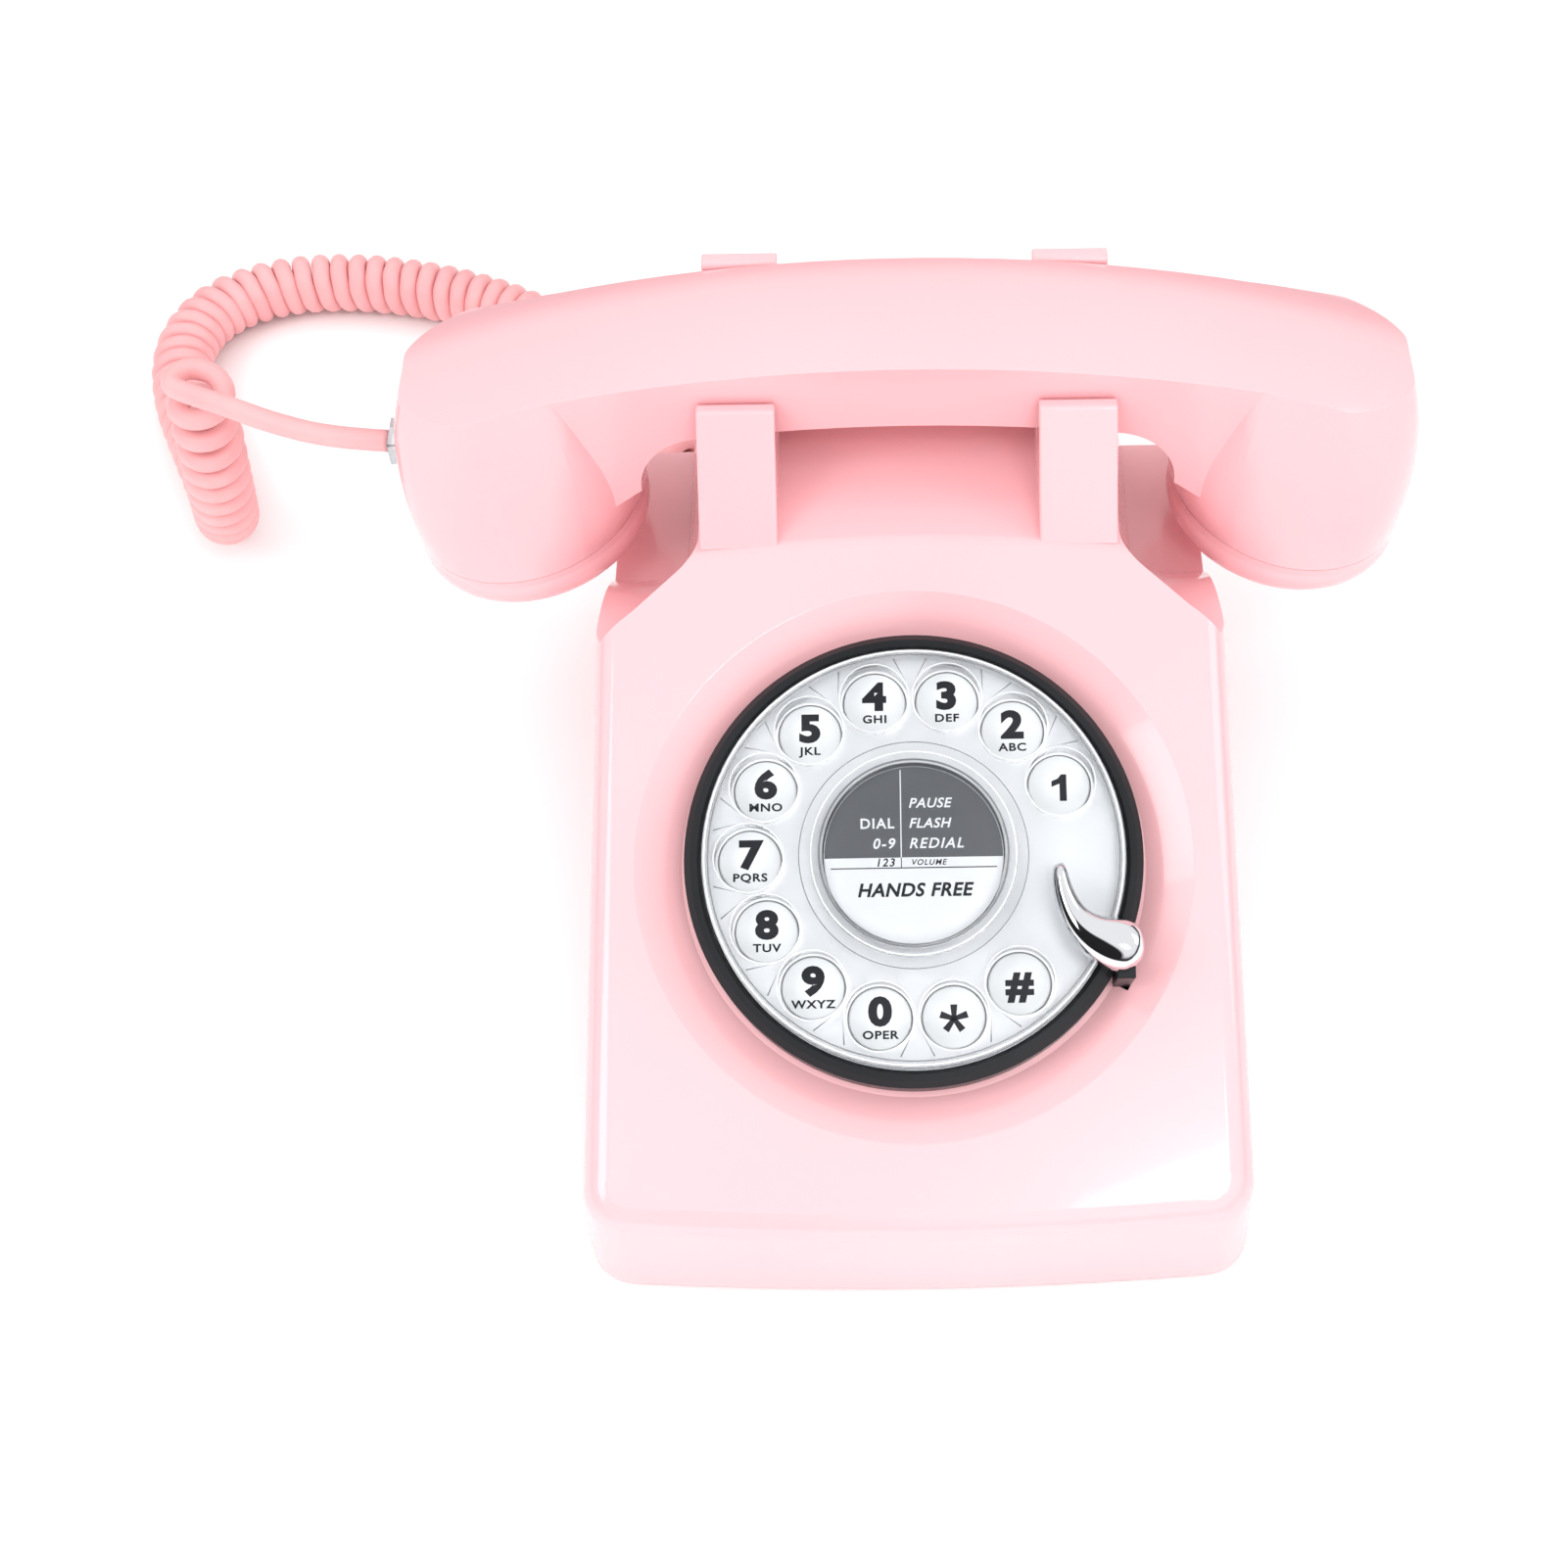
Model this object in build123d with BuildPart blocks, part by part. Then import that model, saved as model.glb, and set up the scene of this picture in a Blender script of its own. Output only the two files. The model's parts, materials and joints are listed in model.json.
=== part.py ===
"""Desk telephone with a ring of number keys, cradle, handset and curly cord.

Millimetres. The front of the phone faces -Y, +X is to the right and +Z is up. The origin is under the
middle of the phone, on the surface that its feet stand on.
"""
from build123d import *
import math
import os

os.makedirs("parts", exist_ok=True)

# ---------------------------------------------------------------- driving dimensions
BODY_WIDTH = 142.4
BODY_DEPTH = 202.0
OVERALL_DEPTH = 203.6
FRONT = -OVERALL_DEPTH / 2
REAR = FRONT + BODY_DEPTH
CORNER_RADIUS = 10.0
FRONT_BOW = 3.0
SIDE_DRAFT = 1.5
WALL = 2.5
CASE_BOTTOM = 1.5
FRONT_WALL_HEIGHT = 26.5
SLOPE_ANGLE = 26.0
PLATEAU_HEIGHT = 91.8
PLATEAU_CROWN_RADIUS = 700.0
EDGE_RADIUS = 6.0

SHOULDER_FLOOR = 55.0
SHOULDER_FRONT_Y = FRONT + 133.0
NECK_HALF_WIDTH = 46.5
SHOULDER_SEAT = 85.0

FOOT_RADIUS = 8.0
PLATE_THICKNESS = 2.5
PLATE_TOP = CASE_BOTTOM + PLATE_THICKNESS
SCREW_X, SCREW_FRONT_Y, SCREW_REAR_Y = 56.0, FRONT + 20.0, REAR - 16.0

DIAL_FROM_FRONT = 70.8
RING_RADIUS = 48.75
RING_HEIGHT = 6.0
DISH_RADIUS = 60.0
DISH_DEPTH = 3.8
COVER_RADIUS = 44.75
COVER_LOW, COVER_TOP = 3.6, 8.5
HOLE_CIRCLE = 34.8
FINGER_HOLE_RADIUS = 7.15
KEY_RADIUS = 6.6
KEY_TOP = 3.2
KEY_PITCH_ANGLE = 360 / 14
FIRST_KEY_ANGLE = 26.0
KEY_NAMES = ["1", "2", "3", "4", "5", "6", "7", "8", "9", "0", "star", "hash"]
COLLAR_OUTER, COLLAR_INNER, COLLAR_TOP = 21.9, 19.6, 11.0
BUTTON_RADIUS = 19.2
BUTTON_TOP = 13.0
LABEL_RADIUS = 18.5
CROWN_RADIUS = 300.0

PRONG_INNER, PRONG_OUTER = 28.8, 46.0
PRONG_X = (PRONG_INNER + PRONG_OUTER) / 2
PRONG_WIDTH = PRONG_OUTER - PRONG_INNER
SADDLE_HEIGHT = 100.5
FRONT_PRONG_TOP = 113.0
REAR_PRONG_TOP = 119.5
PLUNGER_RADIUS = 3.0
RUNNING_GAP = 0.05

HANDSET_Y = FRONT + 175.8
GRIP_WIDTH = 36.4
GRIP_BOTTOM = 104.5
GRIP_EDGE_TOP = 121.2
GRIP_CROWN = 2.6
ARCH_RADIUS = 365.0
GRIP_END = 110.5
CAP_X = 90.0
CAP_TILT = 10.0
CAP_SEAM_Z = 66.0
CAP_RADIUS = 27.8
CAP_HEIGHT = 10.5
SHELL_WALL = 2.2

GRIP_RECESS_WIDTH, GRIP_RECESS_HEIGHT, GRIP_RECESS_DEPTH, GRIP_RECESS_Z = 74.0, 22.0, 15.0, 70.0
FOOT_X, FOOT_FRONT_Y, FOOT_REAR_Y = 54.0, FRONT + 40.0, REAR - 36.0
SPEAKER_Y = 12.0
BOARD_Z, BOARD_HALF_X, BOARD_FRONT_Y, BOARD_REAR_Y = 24.0, 36.0, 14.0, 64.0
board_posts = [(x, y) for x in (-31, 31) for y in (40, 59)]
SOCKET_WIDTH, SOCKET_HEIGHT, SOCKET_DEPTH, SOCKET_Z = 13.0, 11.0, 16.0, 12.0
PLUG_WIDTH, PLUG_HEIGHT = 9.6, 6.4
CORD_SOCKET_X, LINE_SOCKET_X, RINGER_X = -45.0, 45.0, 0.0
HOUSING_WALL_OUTER, HOUSING_WALL_INNER = 44.3, 42.4
PLATE_LOW, PLATE_HIGH = 1.7, 2.5
SEAT_SCREW_RADIUS = 46.95
STOP_ANGLE = -30.0
STOP_STEM_RADIUS, STOP_STEM_WIDTH = 51.2, 3.0
STOP_LOW, STOP_THICKNESS, STOP_BOTTOM = 10.2, 2.6, -10.0
PLUNGER_Y = FRONT + 175.5
PLUNGER_TOP = GRIP_BOTTOM - 3.1
BAR_TOP, BRACKET_TOP = 80.0, 60.0
HOUSING_TOP = 114.0
WAIST_Z, WAIST_INNER, WAIST_OUTER, WAIST_HALF_DEPTH, WAIST_CORNER = 88.0, 62.0, 117.6, 23.5, 19.0
LOWER_SHELL, LOWER_SHELL_REACH = 2.4, 60.4

CORD_RADIUS = 2.6
COIL_RADIUS = 8.5
HANDSET_SCREW_X, HANDSET_SCREW_Z = 20.0, 104.0
SOCKET_FACE_X = -117.4
PLUG_FACE_X = -119.8
CORD_EXIT_Z = 84.6
BASE_PLUG_FACE_Y = REAR + 2.5
lead_route = [
    (PLUG_FACE_X - 0.3, HANDSET_Y, CORD_EXIT_Z), (-133, 74.8, 85.0), (-147, 78.9, 85.8), (-161, 85.2, 86.6),
    (-176.5, 90.8, 86.9)]
coil_route = [
    (-168.5, 95.2, 84.9), (-170.8, 97.4, 65), (-173.6, 101.6, 46), (-176.8, 107.8, 29), (-180.8, 117.2, 15.5),
    (-186.5, 131.8, 9.2), (-195.0, 150.5, 8.8), (-203.5, 170.0, 8.8), (-207.0, 190.5, 8.8),
    (-200.0, 207.5, 8.8), (-184.0, 216.5, 8.8), (-165.0, 218.4, 8.8), (-145.5, 215.8, 8.8),
    (-127.0, 210.2, 8.8), (-109.5, 201.6, 8.8), (-94.0, 189.5, 8.8), (-80.5, 174.5, 8.8),
    (-68.8, 156.9, 8.8), (-58.8, 138.8, 8.8)]
tail_route = [
    (-58.8, 138.8, 8.8), (-51.4, 125.6, 9.6), (CORD_SOCKET_X, 112.3, SOCKET_Z),
    (CORD_SOCKET_X, BASE_PLUG_FACE_Y, SOCKET_Z)]

# ---------------------------------------------------------------- planes worked out from them
slope_start = (0, FRONT + 1.3, FRONT_WALL_HEIGHT)
slope_tan = math.tan(math.radians(SLOPE_ANGLE))
slope_sin = math.sin(math.radians(SLOPE_ANGLE))
slope_cos = math.cos(math.radians(SLOPE_ANGLE))
DIAL_Y = FRONT + DIAL_FROM_FRONT
DIAL_Z = FRONT_WALL_HEIGHT + slope_tan * (DIAL_Y - slope_start[1])
dial_plane = Plane(origin=(0, DIAL_Y, DIAL_Z), x_dir=(1, 0, 0), z_dir=(0, -slope_sin, slope_cos))
dial_axis = Axis((0, DIAL_Y, DIAL_Z), (0, -slope_sin, slope_cos))
# the dial's own section plane: X across, Y along the dial axis
dial_section = Plane(origin=(0, DIAL_Y, DIAL_Z), x_dir=(1, 0, 0), z_dir=(0, -slope_cos, -slope_sin))


def finish(piece, name):
    """Label one finished sub-part and write it as parts/NAME.step."""
    piece.part.label = name
    export_step(piece.part, f"parts/{name}.step")


def slope_height(y):
    return FRONT_WALL_HEIGHT + slope_tan * (y - slope_start[1])


def case_block(inset):
    """The closed wedge of the case without its shoulders; inset moves every wall inwards."""
    half = BODY_WIDTH / 2 - inset
    low_front, low_rear = FRONT + inset, REAR - inset
    top_drop = inset / slope_cos
    with BuildPart() as block:
        with BuildSketch(Plane.XY.offset(CASE_BOTTOM)) as plan:
            with BuildLine():
                ThreePointArc((-half, low_front + FRONT_BOW), (0, low_front), (half, low_front + FRONT_BOW))
                Polyline((half, low_front + FRONT_BOW), (half, low_rear), (-half, low_rear),
                         (-half, low_front + FRONT_BOW))
            make_face()
            fillet(plan.vertices(), CORNER_RADIUS - inset)
        extrude(amount=PLATEAU_HEIGHT + 8, taper=SIDE_DRAFT)
        with BuildSketch(Plane.YZ) as side:
            slope_top_y = slope_start[1] + (PLATEAU_HEIGHT - FRONT_WALL_HEIGHT) / slope_tan
            with BuildLine():
                Polyline(
                    (FRONT - 20, 0), (REAR + 20, 0), (REAR + 20, PLATEAU_HEIGHT - inset + 3),
                    (slope_top_y + 3 / slope_tan, PLATEAU_HEIGHT + 3 - top_drop),
                    (FRONT - 20, slope_height(FRONT - 20) - top_drop), close=True)
            make_face()
        extrude(amount=BODY_WIDTH, both=True, mode=Mode.INTERSECT)
        with BuildSketch(Plane.XZ) as crown:
            reach = BODY_WIDTH
            edge_z = PLATEAU_HEIGHT - inset - PLATEAU_CROWN_RADIUS + math.sqrt(
                PLATEAU_CROWN_RADIUS**2 - reach**2)
            with BuildLine():
                ThreePointArc((-reach, edge_z), (0, PLATEAU_HEIGHT - inset), (reach, edge_z))
                Polyline((reach, edge_z), (reach, 0), (-reach, 0), (-reach, edge_z))
            make_face()
        extrude(amount=BODY_DEPTH, both=True, mode=Mode.INTERSECT)
        tops = block.faces().filter_by(lambda face: face.normal_at().Z > 0.5)
        rim = tops.edges().filter_by(lambda edge: abs(edge.center().X) > 1 or edge.center().Y < 0)
        fillet(rim, EDGE_RADIUS - inset)
        crest = block.edges().filter_by(
            lambda edge: abs(edge.center().X) < 1 and edge.center().Z > 80 and edge.center().Y < 60)
        fillet(crest, 6)
    return block.part


def shoulder_cutter(side, inset):
    """The fall beside the neck: a steep diagonal front wall over a back that rolls down to the rear."""
    neck = NECK_HALF_WIDTH - inset
    outer = BODY_WIDTH / 2 + 30
    diagonal_slope = (SHOULDER_FRONT_Y - (FRONT + 115.5)) / (67.8 - 46.5)
    shift = -inset * 1.3
    corners = [(side * neck, SHOULDER_FRONT_Y + shift),
               (side * outer, SHOULDER_FRONT_Y + shift - diagonal_slope * (outer - neck)),
               (side * outer, REAR + 40), (side * neck, REAR + 40)]
    floor = SHOULDER_FLOOR - inset
    with BuildPart() as cutter:
        with BuildSketch(Plane.XY.offset(SHOULDER_SEAT)) as pocket:
            with BuildLine():
                Polyline(*corners, close=True)
            make_face()
            inner_corner = (side * neck, SHOULDER_FRONT_Y + shift, SHOULDER_SEAT)
            fillet(pocket.vertices().sort_by_distance(inner_corner)[0], 12)
        extrude(amount=-(SHOULDER_SEAT - floor) - 1, taper=12)
        extrude(pocket.sketch, amount=30)
        with BuildSketch(Plane.YZ):
            with BuildLine():
                Line((FRONT + 90 + shift, 91 - inset), (FRONT + 115.5 + shift, 80.5 - inset))
                ThreePointArc((FRONT + 115.5 + shift, 80.5 - inset), (FRONT + 142 + shift, 69 - inset),
                              (FRONT + 158 + shift, floor))
                Polyline((FRONT + 158 + shift, floor), (REAR + 40, floor), (REAR + 40, 130),
                         (FRONT + 90 + shift, 130), (FRONT + 90 + shift, 91 - inset))
            make_face()
        extrude(amount=BODY_WIDTH, both=True, mode=Mode.INTERSECT)
    return cutter.part


def cradle_block(side):
    """One pair of prongs with the saddle between them, seen from the side and as wide as a prong."""
    top = SADDLE_HEIGHT
    with BuildPart() as block:
        with BuildSketch(Plane.YZ.offset(side * PRONG_X - PRONG_WIDTH / 2)):
            with BuildLine():
                Polyline(
                    (FRONT + 134, 84), (FRONT + 134.2, 90.8), (FRONT + 153.8, FRONT_PRONG_TOP),
                    (FRONT + 157, FRONT_PRONG_TOP), (FRONT + 157.2, top), (FRONT + 194.6, top),
                    (FRONT + 194.8, REAR_PRONG_TOP), (FRONT + 199.2, REAR_PRONG_TOP),
                    (FRONT + 199.8, 84), close=True)
            make_face()
        extrude(amount=PRONG_WIDTH)
        tips = block.edges().filter_by(Axis.X).filter_by(lambda edge: edge.center().Z > top + 5)
        fillet(tips, 1.3)
        flanks = block.faces().filter_by(Axis.X).edges().filter_by(lambda edge: edge.center().Z > top - 1)
        fillet(flanks, 0.6)
    return block.part


def carrying_recess(inset):
    """The pocket in the rear of the neck that the fingers hook into when the phone is carried."""
    with BuildPart() as recess:
        with BuildSketch(Plane.XZ.offset(-(REAR + 5))):
            with Locations((0, GRIP_RECESS_Z)):
                RectangleRounded(GRIP_RECESS_WIDTH + 2 * inset, GRIP_RECESS_HEIGHT + 2 * inset, 8)
        extrude(amount=GRIP_RECESS_DEPTH + 5 + inset)
    return recess.part


def case_cavity():
    """The hollow inside the case, kept one wall away from the shoulders, the dish and the recess."""
    with BuildPart() as cavity:
        add(case_block(WALL))
        for side in (-1, 1):
            add(shoulder_cutter(side, WALL), mode=Mode.SUBTRACT)
        with BuildSketch(dial_section):
            with BuildLine():
                Polyline((0, -DISH_DEPTH - WALL), (RING_RADIUS + 3, -DISH_DEPTH - WALL),
                         (DISH_RADIUS + 3, -WALL), (DISH_RADIUS + 10, 8), (0, 8), close=True)
            make_face()
        revolve(axis=dial_axis, mode=Mode.SUBTRACT)
        add(carrying_recess(WALL), mode=Mode.SUBTRACT)
    return cavity.part


def dial_disc(outer, low, high, inner=0.0):
    """A flat disc or ring on the dial axis between two heights above the slope."""
    with BuildPart() as disc:
        with BuildSketch(dial_plane.offset(low)):
            Circle(outer)
            if inner:
                Circle(inner, mode=Mode.SUBTRACT)
        extrude(amount=high - low)
    return disc.part


def upright(points, radius, low, high):
    """Round posts standing at each point."""
    with BuildPart() as posts:
        with BuildSketch(Plane.XY.offset(low)):
            with Locations(*points):
                Circle(radius)
        extrude(amount=high - low)
    return posts.part


def block(x, y, z):
    """A plain block between two values on each axis."""
    with BuildPart() as solid:
        with BuildSketch(Plane.XY.offset(z[0])):
            with Locations(((x[0] + x[1]) / 2, (y[0] + y[1]) / 2)):
                Rectangle(x[1] - x[0], y[1] - y[0])
        extrude(amount=z[1] - z[0])
    return solid.part


def screw(x, y, head_low, head_radius, head_height, shank_radius, length, up=True):
    """A pan-head screw with a cross recess, pointing up or down."""
    way = 1 if up else -1
    with BuildPart() as one:
        with BuildSketch(Plane.XY.offset(head_low)):
            with Locations((x, y)):
                Circle(head_radius)
        extrude(amount=way * head_height)
        with BuildSketch(Plane.XY.offset(head_low)):
            with Locations((x, y)):
                Rectangle(head_radius * 1.2, head_radius * 0.3)
                Rectangle(head_radius * 0.3, head_radius * 1.2)
        extrude(amount=way * head_height * 0.5, mode=Mode.SUBTRACT)
        with BuildSketch(Plane.XY.offset(head_low + way * head_height)):
            with Locations((x, y)):
                Circle(shank_radius)
        extrude(amount=way * length)
    return one.part


foot_points = [(sx * FOOT_X, y) for sx in (-1, 1) for y in (FOOT_FRONT_Y, FOOT_REAR_Y)]
front_screw_points = [(-SCREW_X, SCREW_FRONT_Y), (SCREW_X, SCREW_FRONT_Y)]
rear_screw_points = [(-SCREW_X, SCREW_REAR_Y), (SCREW_X, SCREW_REAR_Y)]
screw_points = front_screw_points + rear_screw_points
plunger_points = [(-PRONG_X, PLUNGER_Y), (PRONG_X, PLUNGER_Y)]
key_angles = [FIRST_KEY_ANGLE + i * KEY_PITCH_ANGLE for i in range(len(KEY_NAMES))]
key_points = [(HOLE_CIRCLE * math.cos(math.radians(a)), HOLE_CIRCLE * math.sin(math.radians(a)))
              for a in key_angles]
stop_direction = (math.cos(math.radians(STOP_ANGLE)), math.sin(math.radians(STOP_ANGLE)))
stop_stem_point = (STOP_STEM_RADIUS * stop_direction[0], STOP_STEM_RADIUS * stop_direction[1])
dial_screw_points = [(SEAT_SCREW_RADIUS * math.cos(math.radians(a)), SEAT_SCREW_RADIUS * math.sin(math.radians(a)))
                     for a in (90, 210, 310)]

# ---------------------------------------------------------------- case and base
with BuildPart() as case_shell:
    add(case_block(0))
    for side in (-1, 1):
        add(shoulder_cutter(side, 0), mode=Mode.SUBTRACT)
    # dish round the dial
    with BuildSketch(dial_section):
        with BuildLine():
            Polyline((0, -DISH_DEPTH), (RING_RADIUS + 1.2, -DISH_DEPTH), (DISH_RADIUS, 0),
                     (DISH_RADIUS + 10, 8), (0, 8), close=True)
        make_face()
    revolve(axis=dial_axis, mode=Mode.SUBTRACT)
    rim = case_shell.edges().filter_by(GeomType.CIRCLE).filter_by(
        lambda edge: abs(edge.radius - DISH_RADIUS) < 0.1)
    fillet(rim, 0.8)
    for side in (-1, 1):
        add(cradle_block(side))
    add(carrying_recess(0), mode=Mode.SUBTRACT)
    add(case_cavity(), mode=Mode.SUBTRACT)
    # bosses that take the base screws
    add(upright(front_screw_points, 4, PLATE_TOP + 0.1, slope_height(SCREW_FRONT_Y) - 2))
    add(upright(rear_screw_points, 4, PLATE_TOP + 0.1, SHOULDER_FLOOR - 1))
    add(upright(screw_points, 1.4, PLATE_TOP, PLATE_TOP + 14), mode=Mode.SUBTRACT)
    # mouth for the dial housing, its three screw holes and the slot of the redial lever
    add(dial_disc(HOUSING_WALL_OUTER + 0.2, -30, 0), mode=Mode.SUBTRACT)
    with BuildSketch(dial_plane.offset(-12)):
        with Locations(*dial_screw_points):
            Circle(1.5)
        with Locations(Location(stop_stem_point, STOP_ANGLE)):
            Rectangle(STOP_STEM_WIDTH + 0.8, STOP_STEM_WIDTH + 0.8)
    extrude(amount=12, mode=Mode.SUBTRACT)
    # bores of the hook plungers
    add(upright(plunger_points, PLUNGER_RADIUS + RUNNING_GAP, 80, SADDLE_HEIGHT + 1), mode=Mode.SUBTRACT)
    # windows of the two sockets and the ringer slide in the rear wall
    with BuildSketch(Plane.XZ.offset(-(REAR + 1))):
        with Locations((CORD_SOCKET_X, SOCKET_Z), (LINE_SOCKET_X, SOCKET_Z)):
            Rectangle(SOCKET_WIDTH - 1, SOCKET_HEIGHT - 1)
        with Locations((RINGER_X, SOCKET_Z)):
            Rectangle(11, 5)
    extrude(amount=8, mode=Mode.SUBTRACT)
finish(case_shell, "case_shell")

with BuildPart() as base_plate:
    plate_half = BODY_WIDTH / 2 - WALL - 0.4
    with BuildSketch(Plane.XY.offset(CASE_BOTTOM)) as plan:
        with BuildLine():
            front_line = FRONT + WALL + 0.4
            ThreePointArc((-plate_half, front_line + FRONT_BOW), (0, front_line),
                          (plate_half, front_line + FRONT_BOW))
            Polyline((plate_half, front_line + FRONT_BOW), (plate_half, REAR - WALL - 0.4),
                     (-plate_half, REAR - WALL - 0.4), (-plate_half, front_line + FRONT_BOW))
        make_face()
        fillet(plan.vertices(), CORNER_RADIUS - WALL)
    extrude(amount=PLATE_THICKNESS)
    add(upright(board_posts, 3, PLATE_TOP - 0.5, BOARD_Z))
    add(upright(board_posts, 1.0, BOARD_Z - 8, BOARD_Z + 1), mode=Mode.SUBTRACT)
    add(upright(foot_points, FOOT_RADIUS + 0.2, CASE_BOTTOM - 1, CASE_BOTTOM + 1.5), mode=Mode.SUBTRACT)
    add(upright(screw_points, 1.7, CASE_BOTTOM - 1, PLATE_TOP + 1), mode=Mode.SUBTRACT)
    add(upright(screw_points, 3.3, CASE_BOTTOM - 1, CASE_BOTTOM + 1.4), mode=Mode.SUBTRACT)
    # sound slots under the loudspeaker
    with BuildSketch(Plane.XY.offset(CASE_BOTTOM - 1)):
        with Locations((0, SPEAKER_Y)):
            with GridLocations(4.5, 1, 7, 1):
                SlotOverall(26, 2, rotation=90)
    extrude(amount=PLATE_THICKNESS + 2, mode=Mode.SUBTRACT)
finish(base_plate, "base_plate")

with BuildPart() as rubber_feet:
    add(upright(foot_points, FOOT_RADIUS, 0, CASE_BOTTOM + 1.4))
    fillet(rubber_feet.faces().group_by(Axis.Z)[0].edges(), 0.6)
finish(rubber_feet, "rubber_feet")

with BuildPart() as base_screws:
    for x, y in screw_points:
        add(screw(x, y, CASE_BOTTOM + 0.1, 3.1, 1.2, 1.35, 12))
finish(base_screws, "base_screws")

with BuildPart() as ballast_weight:
    add(block((-42, 42), (FRONT + 24, FRONT + 84), (PLATE_TOP + 0.1, PLATE_TOP + 7)))
    chamfer(ballast_weight.edges().filter_by(Axis.Z), 3)
    with Locations(Plane.XY.offset(PLATE_TOP + 7)):
        with Locations((-30, FRONT + 54), (30, FRONT + 54)):
            Hole(2)
finish(ballast_weight, "ballast_weight")

with BuildPart() as loudspeaker:
    with BuildSketch(Plane.XY.offset(PLATE_TOP + 0.2)):
        with Locations((0, SPEAKER_Y)):
            Circle(22)
    extrude(amount=3)
    with BuildSketch(Plane.XY.offset(PLATE_TOP + 3.2)):
        with Locations((0, SPEAKER_Y)):
            Circle(20)
    extrude(amount=7, taper=30)
    with BuildSketch(Plane.XY.offset(PLATE_TOP + 9)):
        with Locations((0, SPEAKER_Y)):
            Circle(13)
    extrude(amount=6)
finish(loudspeaker, "loudspeaker")

with BuildPart() as main_circuit_board:
    add(block((-BOARD_HALF_X, BOARD_HALF_X), (BOARD_FRONT_Y, BOARD_REAR_Y), (BOARD_Z, BOARD_Z + 1.6)))
    add(upright(board_posts, 1.6, BOARD_Z - 1, BOARD_Z + 3), mode=Mode.SUBTRACT)
finish(main_circuit_board, "main_circuit_board")

with BuildPart() as board_chips:
    top = BOARD_Z + 1.6
    add(block((-12, 6), (24, 34), (top, top + 3)))
    add(block((-26, -18), (40, 58), (top, top + 3.5)))
    add(block((10, 24), (44, 58), (top, top + 9)))
    add(upright([(16, 28), (26, 30), (-6, 50), (2, 56)], 3.2, top, top + 11))
finish(board_chips, "board_chips")

with BuildPart() as board_screws:
    for x, y in board_posts:
        add(screw(x, y, BOARD_Z + 3.0, 2.4, 1.4, 0.95, 7, up=False))
finish(board_screws, "board_screws")


def jack(x, label):
    """A modular jack behind the rear wall, its mouth open to the rear."""
    back = REAR - WALL - 1.2
    with BuildPart() as body:
        add(block((x - SOCKET_WIDTH / 2, x + SOCKET_WIDTH / 2), (back - SOCKET_DEPTH, back),
                  (SOCKET_Z - SOCKET_HEIGHT / 2, SOCKET_Z + SOCKET_HEIGHT / 2)))
        add(block((x - PLUG_WIDTH / 2 - 0.3, x + PLUG_WIDTH / 2 + 0.3), (back - SOCKET_DEPTH + 3, back + 1),
                  (SOCKET_Z - PLUG_HEIGHT / 2 - 0.3, SOCKET_Z + PLUG_HEIGHT / 2 + 0.3)), mode=Mode.SUBTRACT)
        add(block((x - 2, x + 2), (back - SOCKET_DEPTH + 3, back + 1),
                  (SOCKET_Z - PLUG_HEIGHT / 2 - 1.6, SOCKET_Z)), mode=Mode.SUBTRACT)
    finish(body, label)


jack(CORD_SOCKET_X, "cord_socket")
jack(LINE_SOCKET_X, "line_socket")

with BuildPart() as ringer_switch:
    back = REAR - WALL - 1.2
    add(block((RINGER_X - 8, RINGER_X + 8), (back - 6, back), (SOCKET_Z - 5, SOCKET_Z + 5)))
    add(block((RINGER_X - 5, RINGER_X + 5), (back - 3.4, back + 1), (SOCKET_Z - 1.6, SOCKET_Z + 1.6)),
        mode=Mode.SUBTRACT)
finish(ringer_switch, "ringer_switch")

with BuildPart() as ringer_knob:
    knob_x = RINGER_X - 2
    add(block((knob_x - 1.2, knob_x + 1.2), (back - 3.0, back + 0.6), (SOCKET_Z - 1.2, SOCKET_Z + 1.2)))
    add(block((knob_x - 2, knob_x + 2), (back + 0.6, REAR + 0.6), (SOCKET_Z - 1.9, SOCKET_Z + 1.9)))
    chamfer(ringer_knob.faces().sort_by(Axis.Y)[-1].edges(), 0.4)
finish(ringer_knob, "ringer_knob")

# ---------------------------------------------------------------- dial
with BuildPart() as dial_housing:
    with BuildSketch(dial_section) as section:
        with BuildLine():
            Polyline((HOUSING_WALL_OUTER, -9.5), (HOUSING_WALL_OUTER, -DISH_DEPTH + 0.1),
                     (RING_RADIUS, -DISH_DEPTH + 0.1), (RING_RADIUS, RING_HEIGHT - 1.6),
                     (RING_RADIUS - 1.4, RING_HEIGHT), (COVER_RADIUS + 1.1, RING_HEIGHT),
                     (COVER_RADIUS + 0.4, RING_HEIGHT - 0.8), (COVER_RADIUS + 0.4, PLATE_LOW - 0.1),
                     (HOUSING_WALL_INNER, PLATE_LOW - 0.1), (HOUSING_WALL_INNER, -8.4),
                     (HOUSING_WALL_INNER - 2, -8.4), (HOUSING_WALL_INNER - 2, -9.5), close=True)
        make_face()
    revolve(axis=dial_axis)
    with BuildSketch(dial_plane.offset(-DISH_DEPTH - 1)):
        with Locations(*dial_screw_points):
            Circle(1.25)
    extrude(amount=7, mode=Mode.SUBTRACT)
finish(dial_housing, "dial_housing")

with BuildPart() as dial_screws:
    with BuildSketch(dial_plane.offset(-DISH_DEPTH - 4.2)):
        with Locations(*dial_screw_points):
            Circle(2.4)
    extrude(amount=1.5)
    with BuildSketch(dial_plane.offset(-DISH_DEPTH - 2.7)):
        with Locations(*dial_screw_points):
            Circle(1.2)
    extrude(amount=7)
finish(dial_screws, "dial_screws")

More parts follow.
